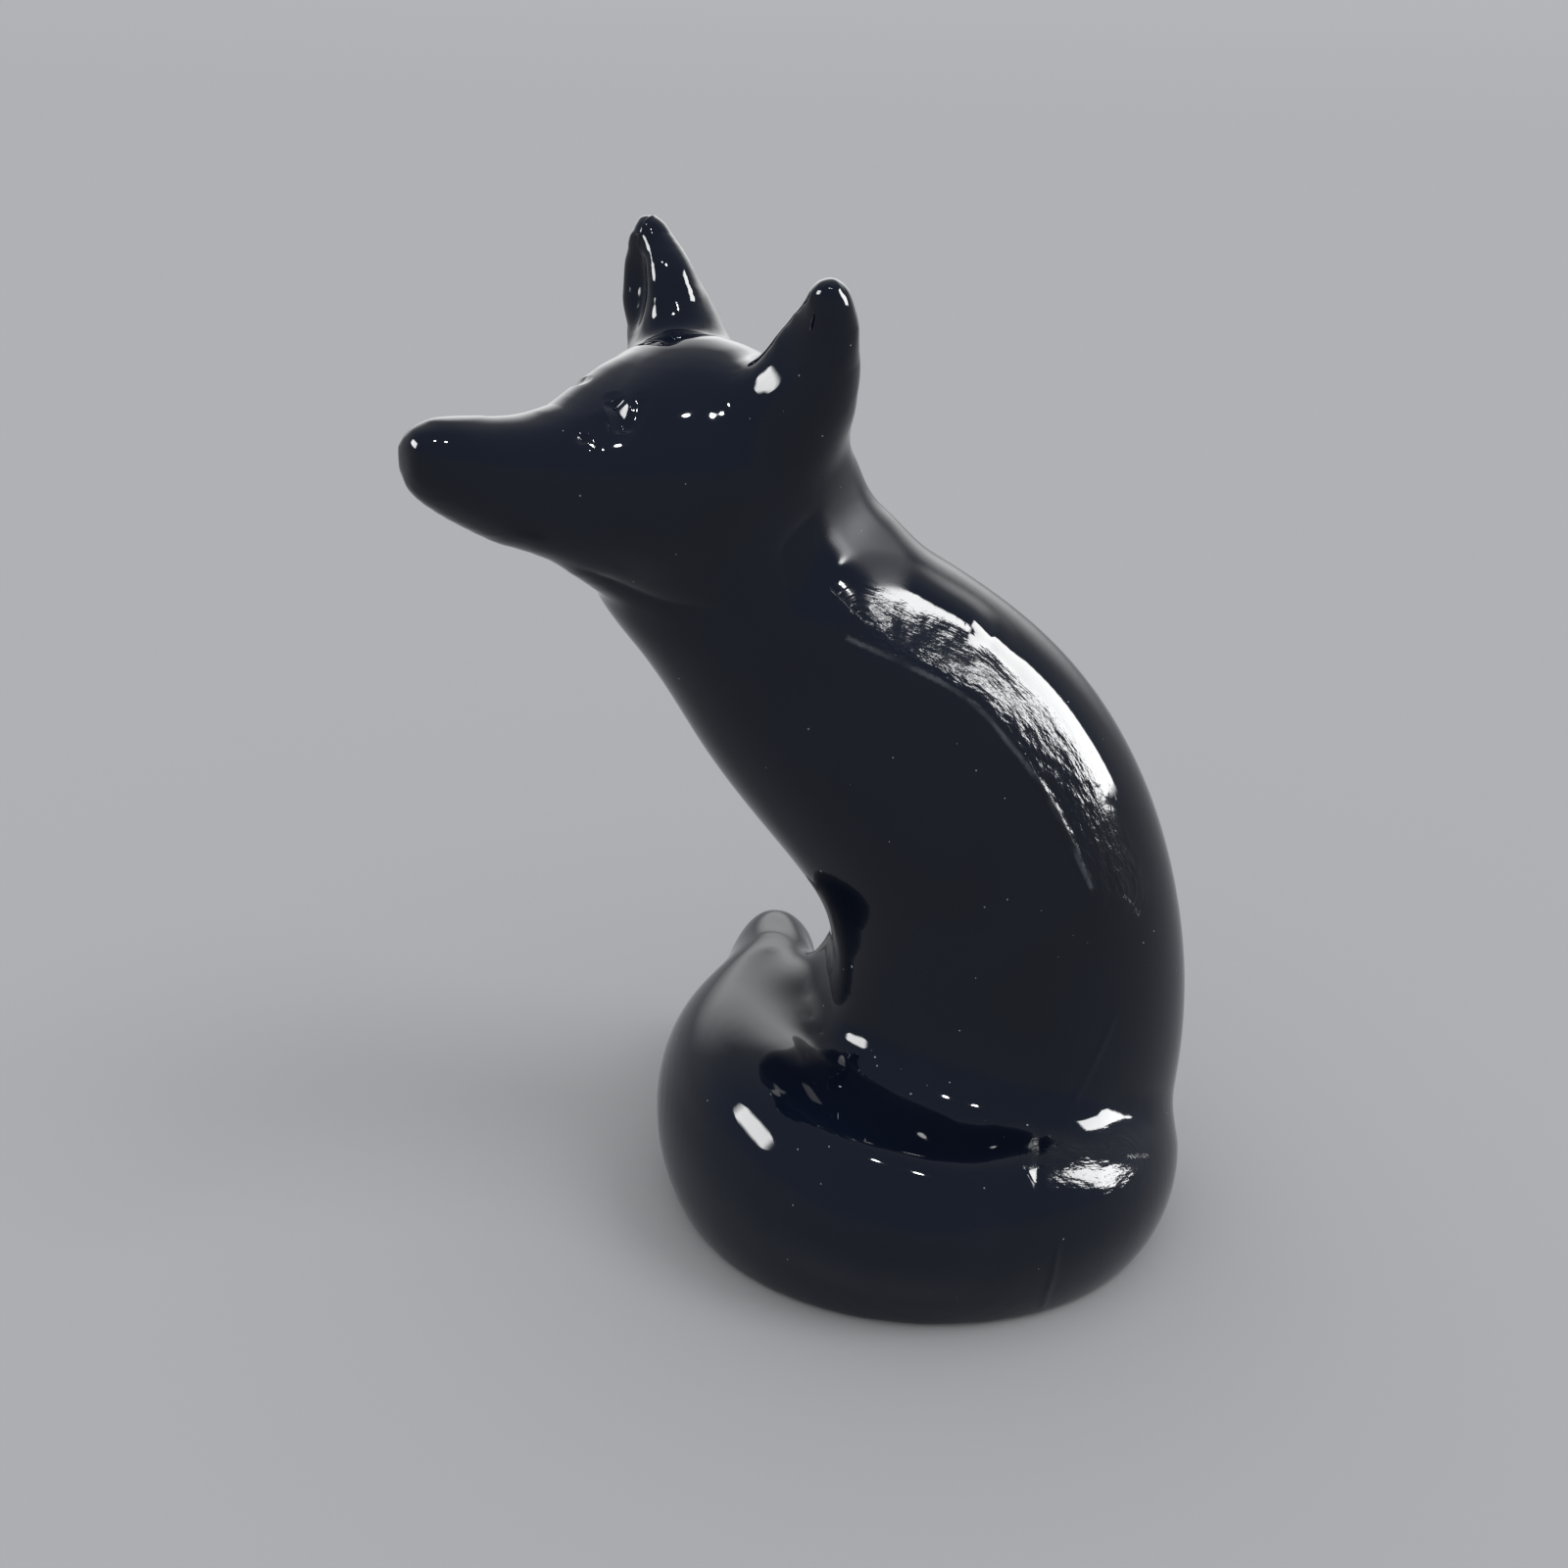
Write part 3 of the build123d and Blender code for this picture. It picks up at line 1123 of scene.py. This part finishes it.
@dataclass(frozen=True)
class BlackGlass:
    """Fire-polished black glass: a navy depth that hardly shows, a mirror gloss with pressing marks, and a
    painted highlight along the mould seam.
    """

    deep: Colour = (0.0028, 0.0048, 0.0115, 1.0)
    navy: Colour = (0.0042, 0.007, 0.017, 1.0)
    depth_wave: float = 30.0
    patch_range: Range = (0.35, 0.65)
    dust: Colour = (0.34, 0.37, 0.42, 1.0)
    scratch_dust: float = 0.4
    # Painted highlight: a paler colour painted along the mould seam, standing in for the light that its
    # crest reflects.
    seam_sheen: Colour = (0.06, 0.07, 0.085, 1.0)
    seam_rough: float = 0.2
    seam_break: float = 5.0
    seam_sharpness: float = 5.0
    gloss: float = 0.035
    smeared: float = 0.03
    chilled: float = 0.14
    hazed: float = 0.5
    dusted: float = 0.5
    index_of_refraction: float = 1.5
    specular_level: float = 0.3
    ripple_wave: float = 9.0
    ripple_height: float = 0.015
    ripple_detail: float = 1.0
    streak_length: float = 2.4
    streak_width: float = 0.9
    streak_height: float = 0.22
    streak_detail: float = 3.0
    scratch_height: float = -0.01

    def build(self, marks: bpy.types.NodeTree) -> bpy.types.Material:
        """Make the material.

        Args:
            marks: The group of handling marks.

        Returns:
            The glass of the moulded faces.
        """
        material, sheet, shader = new_material("black_glass")
        shader.inputs["IOR"].default_value = self.index_of_refraction
        shader.inputs["Specular IOR Level"].default_value = self.specular_level
        place = sheet.add("ShaderNodeTexCoord").outputs["Object"]
        band = sheet.attribute(CHILL_CHART, "Vector")
        chill = sheet.split(band)["Z"]
        # Mask of the mould seam. It carries a painted highlight in the colour and a rougher gloss.
        seam_sheen = sheet.attribute(SEAM_SHEEN_MASK)
        worn = sheet.add("ShaderNodeGroup", node_tree=marks)
        sheet.link(place, worn.inputs["Vector"])
        sheet.link(sheet.attribute(DUST_MASK), worn.inputs["Dust"])
        smear, scratch = worn.outputs["Smear"], worn.outputs["Scratch"]
        marked = sheet.most(worn.outputs["Speck"], sheet.maths("MULTIPLY", scratch, self.scratch_dust))
        depth = sheet.ramp(sheet.noise(place, self.depth_wave), *self.patch_range)
        # The seam's painted highlight: the mask is sharpened and broken into patches, then mixed in as a
        # paler colour.
        broken = sheet.ramp(sheet.noise(place, self.seam_break), *self.patch_range)
        sharp = sheet.maths("POWER", seam_sheen, self.seam_sharpness)
        colour = sheet.blend(depth, self.deep, self.navy)
        colour = sheet.blend(sheet.maths("MULTIPLY", sharp, broken), colour, self.seam_sheen)
        sheet.link(sheet.blend(marked, colour, self.dust), shader.inputs["Base Color"])
        rough = self.gloss
        for mask, roughened in (
            (smear, self.smeared),
            (chill, self.chilled),
            (seam_sheen, self.seam_rough),
            (sheet.attribute(HAZE_MASK), self.hazed),
            (marked, self.dusted),
        ):
            rough = sheet.maths("MULTIPLY_ADD", mask, roughened, rough)
        sheet.link(rough, shader.inputs["Roughness"])
        height = self.relief(sheet, place, band, chill)
        sheet.raise_by(sheet.maths("MULTIPLY_ADD", scratch, self.scratch_height, height), shader)
        return material

    def relief(
        self,
        sheet: NodeSheet,
        place: bpy.types.NodeSocket,
        band: bpy.types.NodeSocket,
        chill: bpy.types.NodeSocket,
    ) -> bpy.types.NodeSocket:
        """Raise the ripples of fire polishing, and the streaks of the chilled band along its length.

        Args:
            sheet: The material's nodes.
            place: The ripples' coordinates, in metres.
            band: The band's chart, in millimetres.
            chill: Mask of the band.

        Returns:
            The socket of the height, in millimetres.
        """
        ripples = sheet.noise(place, self.ripple_wave, self.ripple_detail)
        height = sheet.maths("MULTIPLY", ripples, self.ripple_height)
        slender = (MM * self.streak_width / self.streak_length, MM, 0.0)
        streaked = sheet.mapped(band, (0.0, 0.0, 0.0), slender)
        streaks = sheet.noise(streaked, self.streak_width, self.streak_detail)
        streaks = sheet.maths("MULTIPLY", streaks, self.streak_height)
        return sheet.maths("MULTIPLY_ADD", streaks, chill, height)


@dataclass(frozen=True)
class GroundGlass:
    """The base's ground face: the same glass, matt and greyed by grinding."""

    ground: Colour = (0.028, 0.03, 0.035, 1.0)
    bare: Colour = (0.008, 0.009, 0.013, 1.0)
    dust: Colour = (0.2, 0.2, 0.2, 1.0)
    groove_wave: float = 0.5
    groove_height: float = 0.02
    groove_detail: float = 3.0
    groove_turn: Place = (0.0, 0.0, 35.0)
    groove_stretch: Place = (1.0, 0.04, 1.0)
    matt: float = 0.35
    grooved: float = 0.25
    smeared: float = 0.1

    def build(self, marks: bpy.types.NodeTree) -> bpy.types.Material:
        """Make the material.

        Args:
            marks: The group of handling marks.

        Returns:
            The glass of the base.
        """
        material, sheet, shader = new_material("ground_glass")
        place = sheet.add("ShaderNodeTexCoord").outputs["Object"]
        worn = sheet.add("ShaderNodeGroup", node_tree=marks)
        sheet.link(place, worn.inputs["Vector"])
        lines = sheet.mapped(place, self.groove_turn, self.groove_stretch)
        groove = sheet.noise(lines, self.groove_wave, self.groove_detail)
        colour = sheet.blend(groove, self.bare, self.ground)
        sheet.link(sheet.blend(worn.outputs["Speck"], colour, self.dust), shader.inputs["Base Color"])
        rough = sheet.maths("MULTIPLY_ADD", groove, self.grooved, self.matt)
        rough = sheet.maths("MULTIPLY_ADD", worn.outputs["Smear"], self.smeared, rough)
        sheet.link(rough, shader.inputs["Roughness"])
        sheet.raise_by(sheet.maths("MULTIPLY", groove, self.groove_height), shader)
        return material


@dataclass(frozen=True)
class Mass:
    """A sub-assembly of the figure: the solids that it stands for, their joints and moulded details."""

    nodes: tuple[str, ...] = ()
    blends: tuple[Blend, ...] = ()

    def fills(self) -> list[Stroke | Melt]:
        """List the broad forms that are filled or run smooth on the coarse casting."""
        return []

    def strokes(self) -> list[Stroke | Melt]:
        """List the moulded details, in the order of sculpting."""
        return []

    def work(self, casting: Casting, touches: list[Stroke | Melt]) -> None:
        """Shape the casting, touch by touch.

        Args:
            casting: The casting.
            touches: What is done, in this order.
        """
        for touch in touches:
            if isinstance(touch, Melt):
                casting.melt(touch)
            else:
                casting.apply(touch)
        casting.settle()

    def fill(self, casting: Casting) -> None:
        """Shape the broad forms."""
        self.work(casting, self.fills())

    def sculpt(self, casting: Casting) -> None:
        """Sculpt the moulded details."""
        self.work(casting, self.strokes())

    def dress(self, pieces: dict[str, bpy.types.Object], finishes: list[bpy.types.Material]) -> None:
        """Give the mass's pieces their glass, and set each in its solid's place.

        Args:
            pieces: All pieces by the names of their solids.
            finishes: The glass of the moulded faces and of the base.
        """
        for name in self.nodes:
            piece = pieces[name]
            for finish in finishes:
                piece.data.materials.append(finish)
            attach(piece, "root")
            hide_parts(name)
            log.info("%s: %d faces", piece.name, len(piece.data.polygons))


@dataclass(frozen=True)
class Head(Mass):
    """The head, turned to the fox's left, and its two ears."""

    nodes: tuple[str, ...] = ("head", "left_ear", "right_ear")
    blends: tuple[Blend, ...] = (
        Blend("head", "torso", 7.0, 110),
        Blend("left_ear", "head", 3.5, 25),
        Blend("right_ear", "head", 3.5, 25),
        Blend("left_ear", "left_ear", 1.5, 22),
        Blend("right_ear", "right_ear", 1.5, 22),
    )
    brow: tuple[Place, ...] = ((2.6, 20.4, 7.7), (3.2, 18.2, 8.8), (4.0, 15.6, 9.9), (6.0, 11.0, 10.7))
    socket: tuple[Place, ...] = ((4.6, 19.4, 6.7), (5.6, 16.6, 7.4), (6.2, 13.8, 8.3))
    front_lid: tuple[Place, ...] = ((2.6, 15.9, 9.4), (4.3, 16.2, 8.5), (5.9, 16.6, 7.2))
    back_lid: tuple[Place, ...] = ((5.9, 16.6, 7.2), (5.5, 15.0, 8.4), (4.5, 13.8, 9.8))
    eye_corner: tuple[Place, ...] = ((4.0, 20.4, 6.7), (4.8, 20.0, 6.0))
    eye_middle: Place = (4.8, 16.4, 8.0)
    eye_reach: float = 7.0
    lid_reach: float = 4.5
    near_ear_middle: Place = (15.5, 1.0, 15.0)
    far_ear_middle: Place = (-13.0, 2.0, 17.0)
    ear_reach: float = 10.0
    ear_foot: tuple[Pixel, ...] = ((852, 460), (856, 485), (850, 500), (838, 512))
    nape: tuple[Pixel, ...] = ((866, 489), (879, 508), (897, 531), (920, 554))
    near_ear_front: tuple[Pixel, ...] = ((838, 303), (831, 328), (823, 350))
    near_ear_foot: tuple[Place, ...] = ((14.5, -3.2, 2.6), (14.4, -5.0, 5.0), (14.3, -5.5, 9.0))
    throat: tuple[Place, ...] = ((1.5, 20.5, -7.0), (0.5, 17.0, -9.5), (-1.0, 14.0, -12.5))
    jaw_line: tuple[Pixel, ...] = ((590, 580), (627, 595), (681, 616), (762, 629))
    cheek_fold: tuple[Pixel, ...] = ((838, 520), (803, 556), (802, 584), (813, 616))
    near_ear_back: tuple[Place, ...] = ((17.0, -0.3, 22.2), (16.9, -1.0, 20.0), (16.0, -2.5, 15.0))
    near_ear_tip: tuple[Place, ...] = ((17.0, 1.0, 23.2), (16.9, 0.6, 22.6))
    far_ear_back: tuple[Place, ...] = ((-13.8, 0.5, 21.5), (-11.8, 0.5, 18.0), (-9.5, 1.0, 15.0))
    far_ear_edge: tuple[Place, ...] = ((-15.5, 2.9, 21.5), (-16.8, 2.4, 18.5), (-15.0, 3.3, 12.0))
    far_ear_hollow: tuple[Place, ...] = ((-15.0, 2.6, 20.0), (-14.1, 2.8, 15.3), (-12.5, 4.0, 11.5))
    far_ear_rim: tuple[Pixel, ...] = ((663, 241), (670, 267), (672, 298), (670, 324))
    far_ear_tip: tuple[Place, ...] = ((-15.0, 1.8, 23.2), (-14.8, 1.4, 22.8))

    def fills(self) -> list[Stroke | Melt]:
        """List the broad forms: throat, nape, and how the near ear runs into the neck."""
        return [
            Melt(HeadLine(self.throat), 8.0, 25),
            Stroke(HeadLine(self.throat), 6.0, 1.4, end_fade=5.0),
            Melt(HeadLine(self.throat), 8.0, 10),
            Stroke(HeadLine(self.near_ear_foot), 5.0, -1.0, end_fade=5.0),
            Stroke(PhotoLine(self.nape), 7.0, 1.6, end_fade=6.0),
            Melt(PhotoLine(self.nape), 9.0, 20),
            Melt(PhotoLine(self.ear_foot), 5.0, 20),
            Melt(PhotoLine(self.near_ear_front), 4.0, 12),
        ]

    def strokes(self) -> list[Stroke | Melt]:
        """List the moulded details: jaw line, ears, brows and eyes."""
        made = [
            Stroke(PhotoLine(self.jaw_line), 2.5, -0.3, Profile.CREASE, end_fade=6.0),
            Stroke(PhotoLine(self.cheek_fold), 2.0, -0.3, Profile.CREASE, end_fade=4.0),
            Stroke(HeadLine(self.near_ear_back), 4.5, 0.7, end_fade=8.0),
            Stroke(HeadLine(self.near_ear_tip), 4.5, 2.2),
            Melt(PhotoLine(self.near_ear_front), 3.5, 40),
            Stroke(HeadLine(self.far_ear_back), 4.0, 0.9, end_fade=6.0),
            Stroke(HeadLine(self.far_ear_edge), 3.0, 1.1, end_fade=5.0),
            Stroke(HeadLine(self.far_ear_tip), 4.0, 1.2),
            Stroke(HeadLine(self.far_ear_hollow), 2.6, -0.5, end_fade=6.0),
            Stroke(PhotoLine(self.far_ear_rim), 1.8, 0.3, end_fade=5.0),
            Stroke(HeadLine(self.brow, mirrored=True), 5.5, 0.6, end_fade=6.0),
        ]
        for mirrored in (False, True):
            made += [
                Stroke(HeadLine(self.socket, mirrored), 2.6, -0.25),
                Stroke(HeadLine(self.front_lid, mirrored), 1.2, -0.7, Profile.WALL, end_fade=1.0),
                Stroke(HeadLine(self.back_lid, mirrored), 1.2, -0.2, end_fade=1.0),
                Stroke(HeadLine(self.eye_corner, mirrored), 0.8, -0.4, Profile.WALL, end_fade=1.0),
            ]
        return made

    def sculpt(self, casting: Casting) -> None:
        """Sculpt the moulded details, on finer faces round the ears and the eyes."""
        head = HeadFrame()
        aside, along, rise = self.eye_middle
        eyes = [head.place(hand * aside, along, rise) for hand in (1, -1)]
        ears = [head.place(*self.near_ear_middle), head.place(*self.far_ear_middle)]
        casting.refine_near(ears, self.ear_reach)
        casting.refine_near(eyes, self.eye_reach)
        casting.refine_near(eyes, self.lid_reach)
        super().sculpt(casting)


@dataclass(frozen=True)
class Trunk(Mass):
    """The upright body with its forelegs, haunches and hind paw."""

    nodes: tuple[str, ...] = (
        "torso",
        "left_foreleg",
        "right_foreleg",
        "left_haunch",
        "right_haunch",
        "right_hind_paw",
    )
    blends: tuple[Blend, ...] = (
        Blend("left_foreleg", "torso", 7.0, 150),
        Blend("right_foreleg", "torso", 7.0, 150),
        Blend("left_haunch", "torso", 7.0, 120),
        Blend("right_haunch", "torso", 7.0, 120),
        Blend("left_foreleg", "left_haunch", 4.0, 60),
        Blend("right_foreleg", "right_haunch", 4.0, 60),
    )
    chill_bands: tuple[ChillBand, ...] = (
        ChillBand(PhotoLine(((880, 632), (985, 682), (1060, 752), (1107, 830), (1145, 910))), 5.0, 1.0),
        ChillBand(PhotoLine(((1072, 1188), (1110, 1192), (1150, 1180))), 5.0, 0.5),
    )
    chill_height: float = 0.07
    chill_wave: float = 1.8
    chill_lip: tuple[Pixel, ...] = ((872, 655), (874, 622), (892, 602), (930, 606), (975, 628), (1012, 654))
    nape_haze: tuple[Pixel, ...] = ((858, 500), (872, 535), (900, 565))
    haze_half_width: float = 5.5
    shoulder_seam: tuple[Pixel, ...] = ((865, 651), (978, 707), (1034, 764), (1074, 823), (1114, 906))
    # Half width of the seam band that carries a painted highlight and a rougher gloss.
    seam_half_width: float = 0.6
    shoulder: tuple[Pixel, ...] = ((850, 645), (920, 678), (978, 707), (1034, 764))
    rear_seam: tuple[Pixel, ...] = ((1138, 1036), (1114, 1088), (1085, 1143))
    foreleg: tuple[Pixel, ...] = ((836, 846), (852, 880), (870, 930), (905, 1000))
    chest_foot: tuple[Pixel, ...] = ((852, 955), (850, 1000), (853, 1035))

    def fills(self) -> list[Stroke | Melt]:
        """List the broad forms: how the foreleg runs into the body."""
        return [
            Melt(PhotoLine(self.foreleg), 7.0, 25),
            Melt(PhotoLine(self.chest_foot), 4.5, 10),
        ]

    def strokes(self) -> list[Stroke | Melt]:
        """List the moulded details: the shoulder, the lip of the chilled band and the mould's seams."""
        return [
            Stroke(PhotoLine(self.shoulder), 6.5, 1.6, end_fade=14.0),
            Stroke(PhotoLine(self.chill_lip), 4.5, 0.6, end_fade=5.0),
            Stroke(PhotoLine(self.shoulder_seam), 0.9, 0.35, Profile.CREASE, end_fade=5.0),
            Stroke(PhotoLine(self.rear_seam), 0.9, 0.15, Profile.CREASE, end_fade=4.0),
        ]

    def sculpt(self, casting: Casting) -> None:
        """Sculpt the moulded details, ruffle the chilled bands, and mark the seam, for its painted highlight
        and rougher gloss, and the hazy nape.
        """
        super().sculpt(casting)
        mask = casting.chart_bands(CHILL_CHART, self.chill_bands)
        casting.wrinkle(mask, self.chill_height, self.chill_wave)
        casting.settle()
        # The seam band gets a painted highlight in the glass's colour.
        casting.mark_band(SEAM_SHEEN_MASK, PhotoLine(self.shoulder_seam), self.seam_half_width)
        casting.mark_band(HAZE_MASK, PhotoLine(self.nape_haze), self.haze_half_width)


@dataclass(frozen=True)
class TailRing(Mass):
    """The thick tail, laid round the base."""

    nodes: tuple[str, ...] = ("tail",)
    blends: tuple[Blend, ...] = (
        Blend("tail", "torso", 2.5, 25),
        Blend("tail", "left_foreleg", 3.0, 30),
        Blend("tail", "left_haunch", 2.0, 10),
        Blend("tail", "right_foreleg", 8.0, 120),
    )
    dusty_crease: tuple[Pixel, ...] = ((850, 1040), (880, 1072), (920, 1105), (1000, 1140), (1065, 1150))
    dust_half_width: float = 1.6
    ridge: tuple[Pixel, ...] = ((831, 1165), (921, 1190), (963, 1194), (1003, 1192), (1046, 1165))
    bulge: tuple[Pixel, ...] = ((790, 1220), (860, 1255), (930, 1272), (1020, 1275))
    fold: tuple[Pixel, ...] = ((1063, 1152), (1060, 1180), (1058, 1218))
    chest_gap: tuple[Pixel, ...] = ((838, 992), (833, 978), (831, 966))
    chest_web: tuple[Pixel, ...] = ((806, 1000), (812, 1010), (822, 1025))
    trough: tuple[Pixel, ...] = ((815, 1095), (870, 1120), (930, 1145), (990, 1160), (1040, 1158))
    base_seam: tuple[Pixel, ...] = ((1080, 1265), (1074, 1300), (1062, 1338))

    def fills(self) -> list[Stroke | Melt]:
        """List the broad forms: the web between the tail and the chest."""
        return [
            Melt(PhotoLine(self.chest_gap), 6.0, 15),
            Stroke(PhotoLine(self.chest_gap), 7.0, 2.6, end_fade=4.0),
            Melt(PhotoLine(self.chest_gap), 9.0, 40),
            Melt(PhotoLine(self.chest_web), 7.0, 70),
        ]

    def strokes(self) -> list[Stroke | Melt]:
        """List the moulded details: the ridge of the fur, the trough above it, its fold, and a seam."""
        return [
            Stroke(PhotoLine(self.bulge), 8.0, 0.8, end_fade=14.0),
            Stroke(PhotoLine(self.trough), 6.5, -0.9, end_fade=12.0),
            Stroke(PhotoLine(self.ridge), 4.5, 0.5, end_fade=10.0),
            Melt(PhotoLine(self.trough), 8.0, 20),
            Stroke(PhotoLine(self.fold), 1.2, -0.2, Profile.CREASE),
            Stroke(PhotoLine(self.base_seam), 0.9, 0.15, Profile.CREASE, end_fade=4.0),
        ]

    def sculpt(self, casting: Casting) -> None:
        """Sculpt the moulded details, and mark where dust lies in the crease."""
        super().sculpt(casting)
        casting.mark_band(DUST_MASK, PhotoLine(self.dusty_crease), self.dust_half_width)


@dataclass(frozen=True)
class Figurine:
    """The glass fox: how its casting is made and closed. Sizes are in millimetres."""

    voxel: float = 0.8
    quick_voxel: float = 1.2
    even_rounds: int = 24
    fill_rounds: int = 3
    fill_pull: float = 0.5
    flange: float = 0.8
    core_depth: float = 3.0
    masses: tuple[Mass, ...] = (Head(), Trunk(), TailRing())

    def build(self, nodes: dict[str, bpy.types.Object]) -> None:
        """Shape the glass, part it and dress the pieces.

        Args:
            nodes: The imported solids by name.
        """
        casting = Casting(nodes, self.voxel)
        casting.even_out(self.even_rounds)
        for mass in self.masses:
            casting.soften(mass.blends)
        casting.settle()
        for mass in self.masses:
            mass.fill(casting)
        casting.smooth(self.fill_rounds, self.fill_pull)
        casting.stand()
        casting.settle()
        casting.refine()
        for mass in self.masses:
            mass.sculpt(casting)
        casting.stand()
        casting.settle()
        pieces = casting.part(self.flange, self.core_depth)
        marks = HandlingMarks().build()
        finishes = [BlackGlass().build(marks), GroundGlass().build(marks)]
        for mass in self.masses:
            mass.dress(pieces, finishes)


def heading(azimuth: float, elevation: float) -> Vector:
    """Give the unit direction that lies at some degrees from +X to +Y, and some degrees up."""
    turn, rise = math.radians(azimuth), math.radians(elevation)
    return Vector((math.cos(turn) * math.cos(rise), math.sin(turn) * math.cos(rise), math.sin(rise)))


@dataclass(frozen=True)
class Skylight:
    """Soft light from one side that is as strong everywhere, for the shadow. Directions are degrees."""

    azimuth: float = 75.0
    elevation: float = 55.0
    strength: float = 0.5
    spread: float = 25.0

    def build(self) -> None:
        """Hang the light, without a reflection of its own."""
        data = bpy.data.lights.new("skylight", "SUN")
        data.energy = self.strength
        data.angle = math.radians(self.spread)
        lamp = placed("skylight", data)
        lamp.rotation_euler = (-heading(self.azimuth, self.elevation)).to_track_quat("-Z", "Y").to_euler()
        lamp.visible_glossy = False


class LampShape(Enum):
    """The outline of a lamp."""

    SQUARE = "RECTANGLE"
    ROUND = "ELLIPSE"


@dataclass(frozen=True)
class Lamp:
    """A softbox that only shows as gloss.

    Directions are degrees, from +X to +Y and up, and sizes are metres. The feather is the share of the lamp
    over which its light fades. Where receivers are named, the lamp lights these alone. The lamp's face is
    counted from 0 to 1, so that its middle lies at a half.
    """

    MIDDLE = 0.5
    name: str
    azimuth: float
    elevation: float
    width: float
    height: float
    radiance: float
    shape: LampShape = LampShape.SQUARE
    feather: float = 0.0
    receivers: tuple[str, ...] = ()
    distance: float = 0.9

    def soften(self, data: bpy.types.AreaLight) -> None:
        """Let the light fade towards the lamp's edges.

        Args:
            data: The lamp's light.
        """
        data.use_nodes = True
        sheet = NodeSheet(data.node_tree)
        spot = sheet.split(sheet.add("ShaderNodeNewGeometry").outputs["Parametric"])
        fades = []
        for axis in ("X", "Y"):
            off = sheet.maths("ABSOLUTE", sheet.maths("SUBTRACT", spot[axis], self.MIDDLE))
            fades.append(sheet.ramp(off, self.MIDDLE, self.MIDDLE - self.feather / 2))
        strength = data.node_tree.nodes["Emission"].inputs["Strength"]
        sheet.link(sheet.maths("MULTIPLY", *fades), strength)

    def build(self, aim: Vector) -> None:
        """Hang the lamp.

        Args:
            aim: The place that it faces, in metres.
        """
        data = bpy.data.lights.new(self.name, "AREA")
        data.shape = self.shape.value
        data.size, data.size_y = self.width, self.height
        fill = math.pi / 4 if self.shape is LampShape.ROUND else 1.0
        data.energy = self.radiance * math.pi * self.width * self.height * fill
        if self.feather > 0:
            self.soften(data)
        lamp = placed(self.name, data)
        way = heading(self.azimuth, self.elevation)
        lamp.location = aim + way * self.distance
        lamp.rotation_euler = (-way).to_track_quat("-Z", "Y").to_euler()
        lamp.visible_camera = False
        lamp.visible_diffuse = False
        if self.receivers:
            lit = bpy.data.collections.new(f"{self.name}_receivers")
            for name in self.receivers:
                lit.objects.link(bpy.data.objects[name])
            lamp.light_linking.receiver_collection = lit


@dataclass(frozen=True)
class Studio:
    """A plain pale floor, a pale room and soft lamps. Lengths are in metres.

    The ranges are parts of a unit direction: along X the room turns to wall between them, and along Z the
    horizon to room.
    """

    floor_half: float = 12.0
    floor_segments: int = 4
    floor_colour: Colour = (0.49, 0.50, 0.52, 1.0)
    floor_rough: float = 0.7
    behind_range: Range = (0.1, -0.7)
    above_range: Range = (0.0, 0.3)
    wall: Colour = (0.56, 0.57, 0.585, 1.0)
    room: Colour = (0.33, 0.385, 0.49, 1.0)
    daylight: Colour = (0.75, 0.75, 0.75, 1.0)
    horizon: Colour = (0.431, 0.44, 0.458, 1.0)
    aim: Place = (0.0, 0.0, 0.06)
    lamps: tuple[Lamp, ...] = (
        Lamp("window", 90.0, 23.5, 0.28, 0.53, 28.0, feather=0.15),
        Lamp("window_side", 66.0, 38.0, 0.28, 0.16, 34.0, feather=0.3, receivers=("glass_torso",)),
        Lamp("ceiling_left", -2.0, 60.0, 0.05, 0.05, 160.0, LampShape.ROUND),
        Lamp("ceiling_right", 24.0, 57.0, 0.05, 0.05, 160.0, LampShape.ROUND),
        Lamp("far_strip", -76.0, 26.0, 0.40, 0.30, 26.0, LampShape.ROUND, feather=0.4),
        Lamp("wall_behind", 180.0, 24.0, 2.6, 0.95, 1.9, feather=0.9),
    )

    def build(self) -> None:
        """Lay the floor, set the room's light and hang the lamps."""
        self.lay_floor()
        self.light_room()
        Skylight().build()
        for lamp in self.lamps:
            lamp.build(Vector(self.aim))

    def lay_floor(self) -> None:
        """Lay a plain floor under the figure."""
        count = self.floor_segments
        grid = bmesh.new()
        bmesh.ops.create_grid(grid, x_segments=count, y_segments=count, size=self.floor_half)
        floor = placed("studio_floor", written("studio_floor", grid))
        material, _, shader = new_material("pale_floor")
        shader.inputs["Base Color"].default_value = self.floor_colour
        shader.inputs["Roughness"].default_value = self.floor_rough
        shader.inputs["Specular IOR Level"].default_value = 0.0
        floor.data.materials.append(material)

    def light_room(self) -> None:
        """Surround the figure with even light, a pale wall behind it and a cooler room before it."""
        world = bpy.data.worlds.new("studio")
        world.use_nodes = True
        bpy.context.scene.world = world
        sheet = NodeSheet(world.node_tree)
        way = sheet.split(sheet.add("ShaderNodeTexCoord").outputs["Generated"])
        behind = sheet.ramp(way["X"], *self.behind_range)
        above = sheet.ramp(way["Z"], *self.above_range)
        seen = sheet.blend(above, self.horizon, sheet.blend(behind, self.room, self.wall))
        paths = sheet.add("ShaderNodeLightPath").outputs
        shown = sheet.most(*(paths[f"Is {kind} Ray"] for kind in ("Camera", "Glossy", "Transmission")))
        sky = world.node_tree.nodes["Background"]
        sheet.link(sheet.blend(shown, self.daylight, seen), sky.inputs["Color"])


def main() -> None:
    """Build the figurine and its studio."""
    logging.basicConfig(level=logging.INFO)
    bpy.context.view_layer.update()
    bpy.context.scene.view_settings.view_transform = "Standard"
    PhotoCamera().build()
    Figurine().build(frame["nodes"])
    Studio().build()


if __name__ == "__main__":
    main()
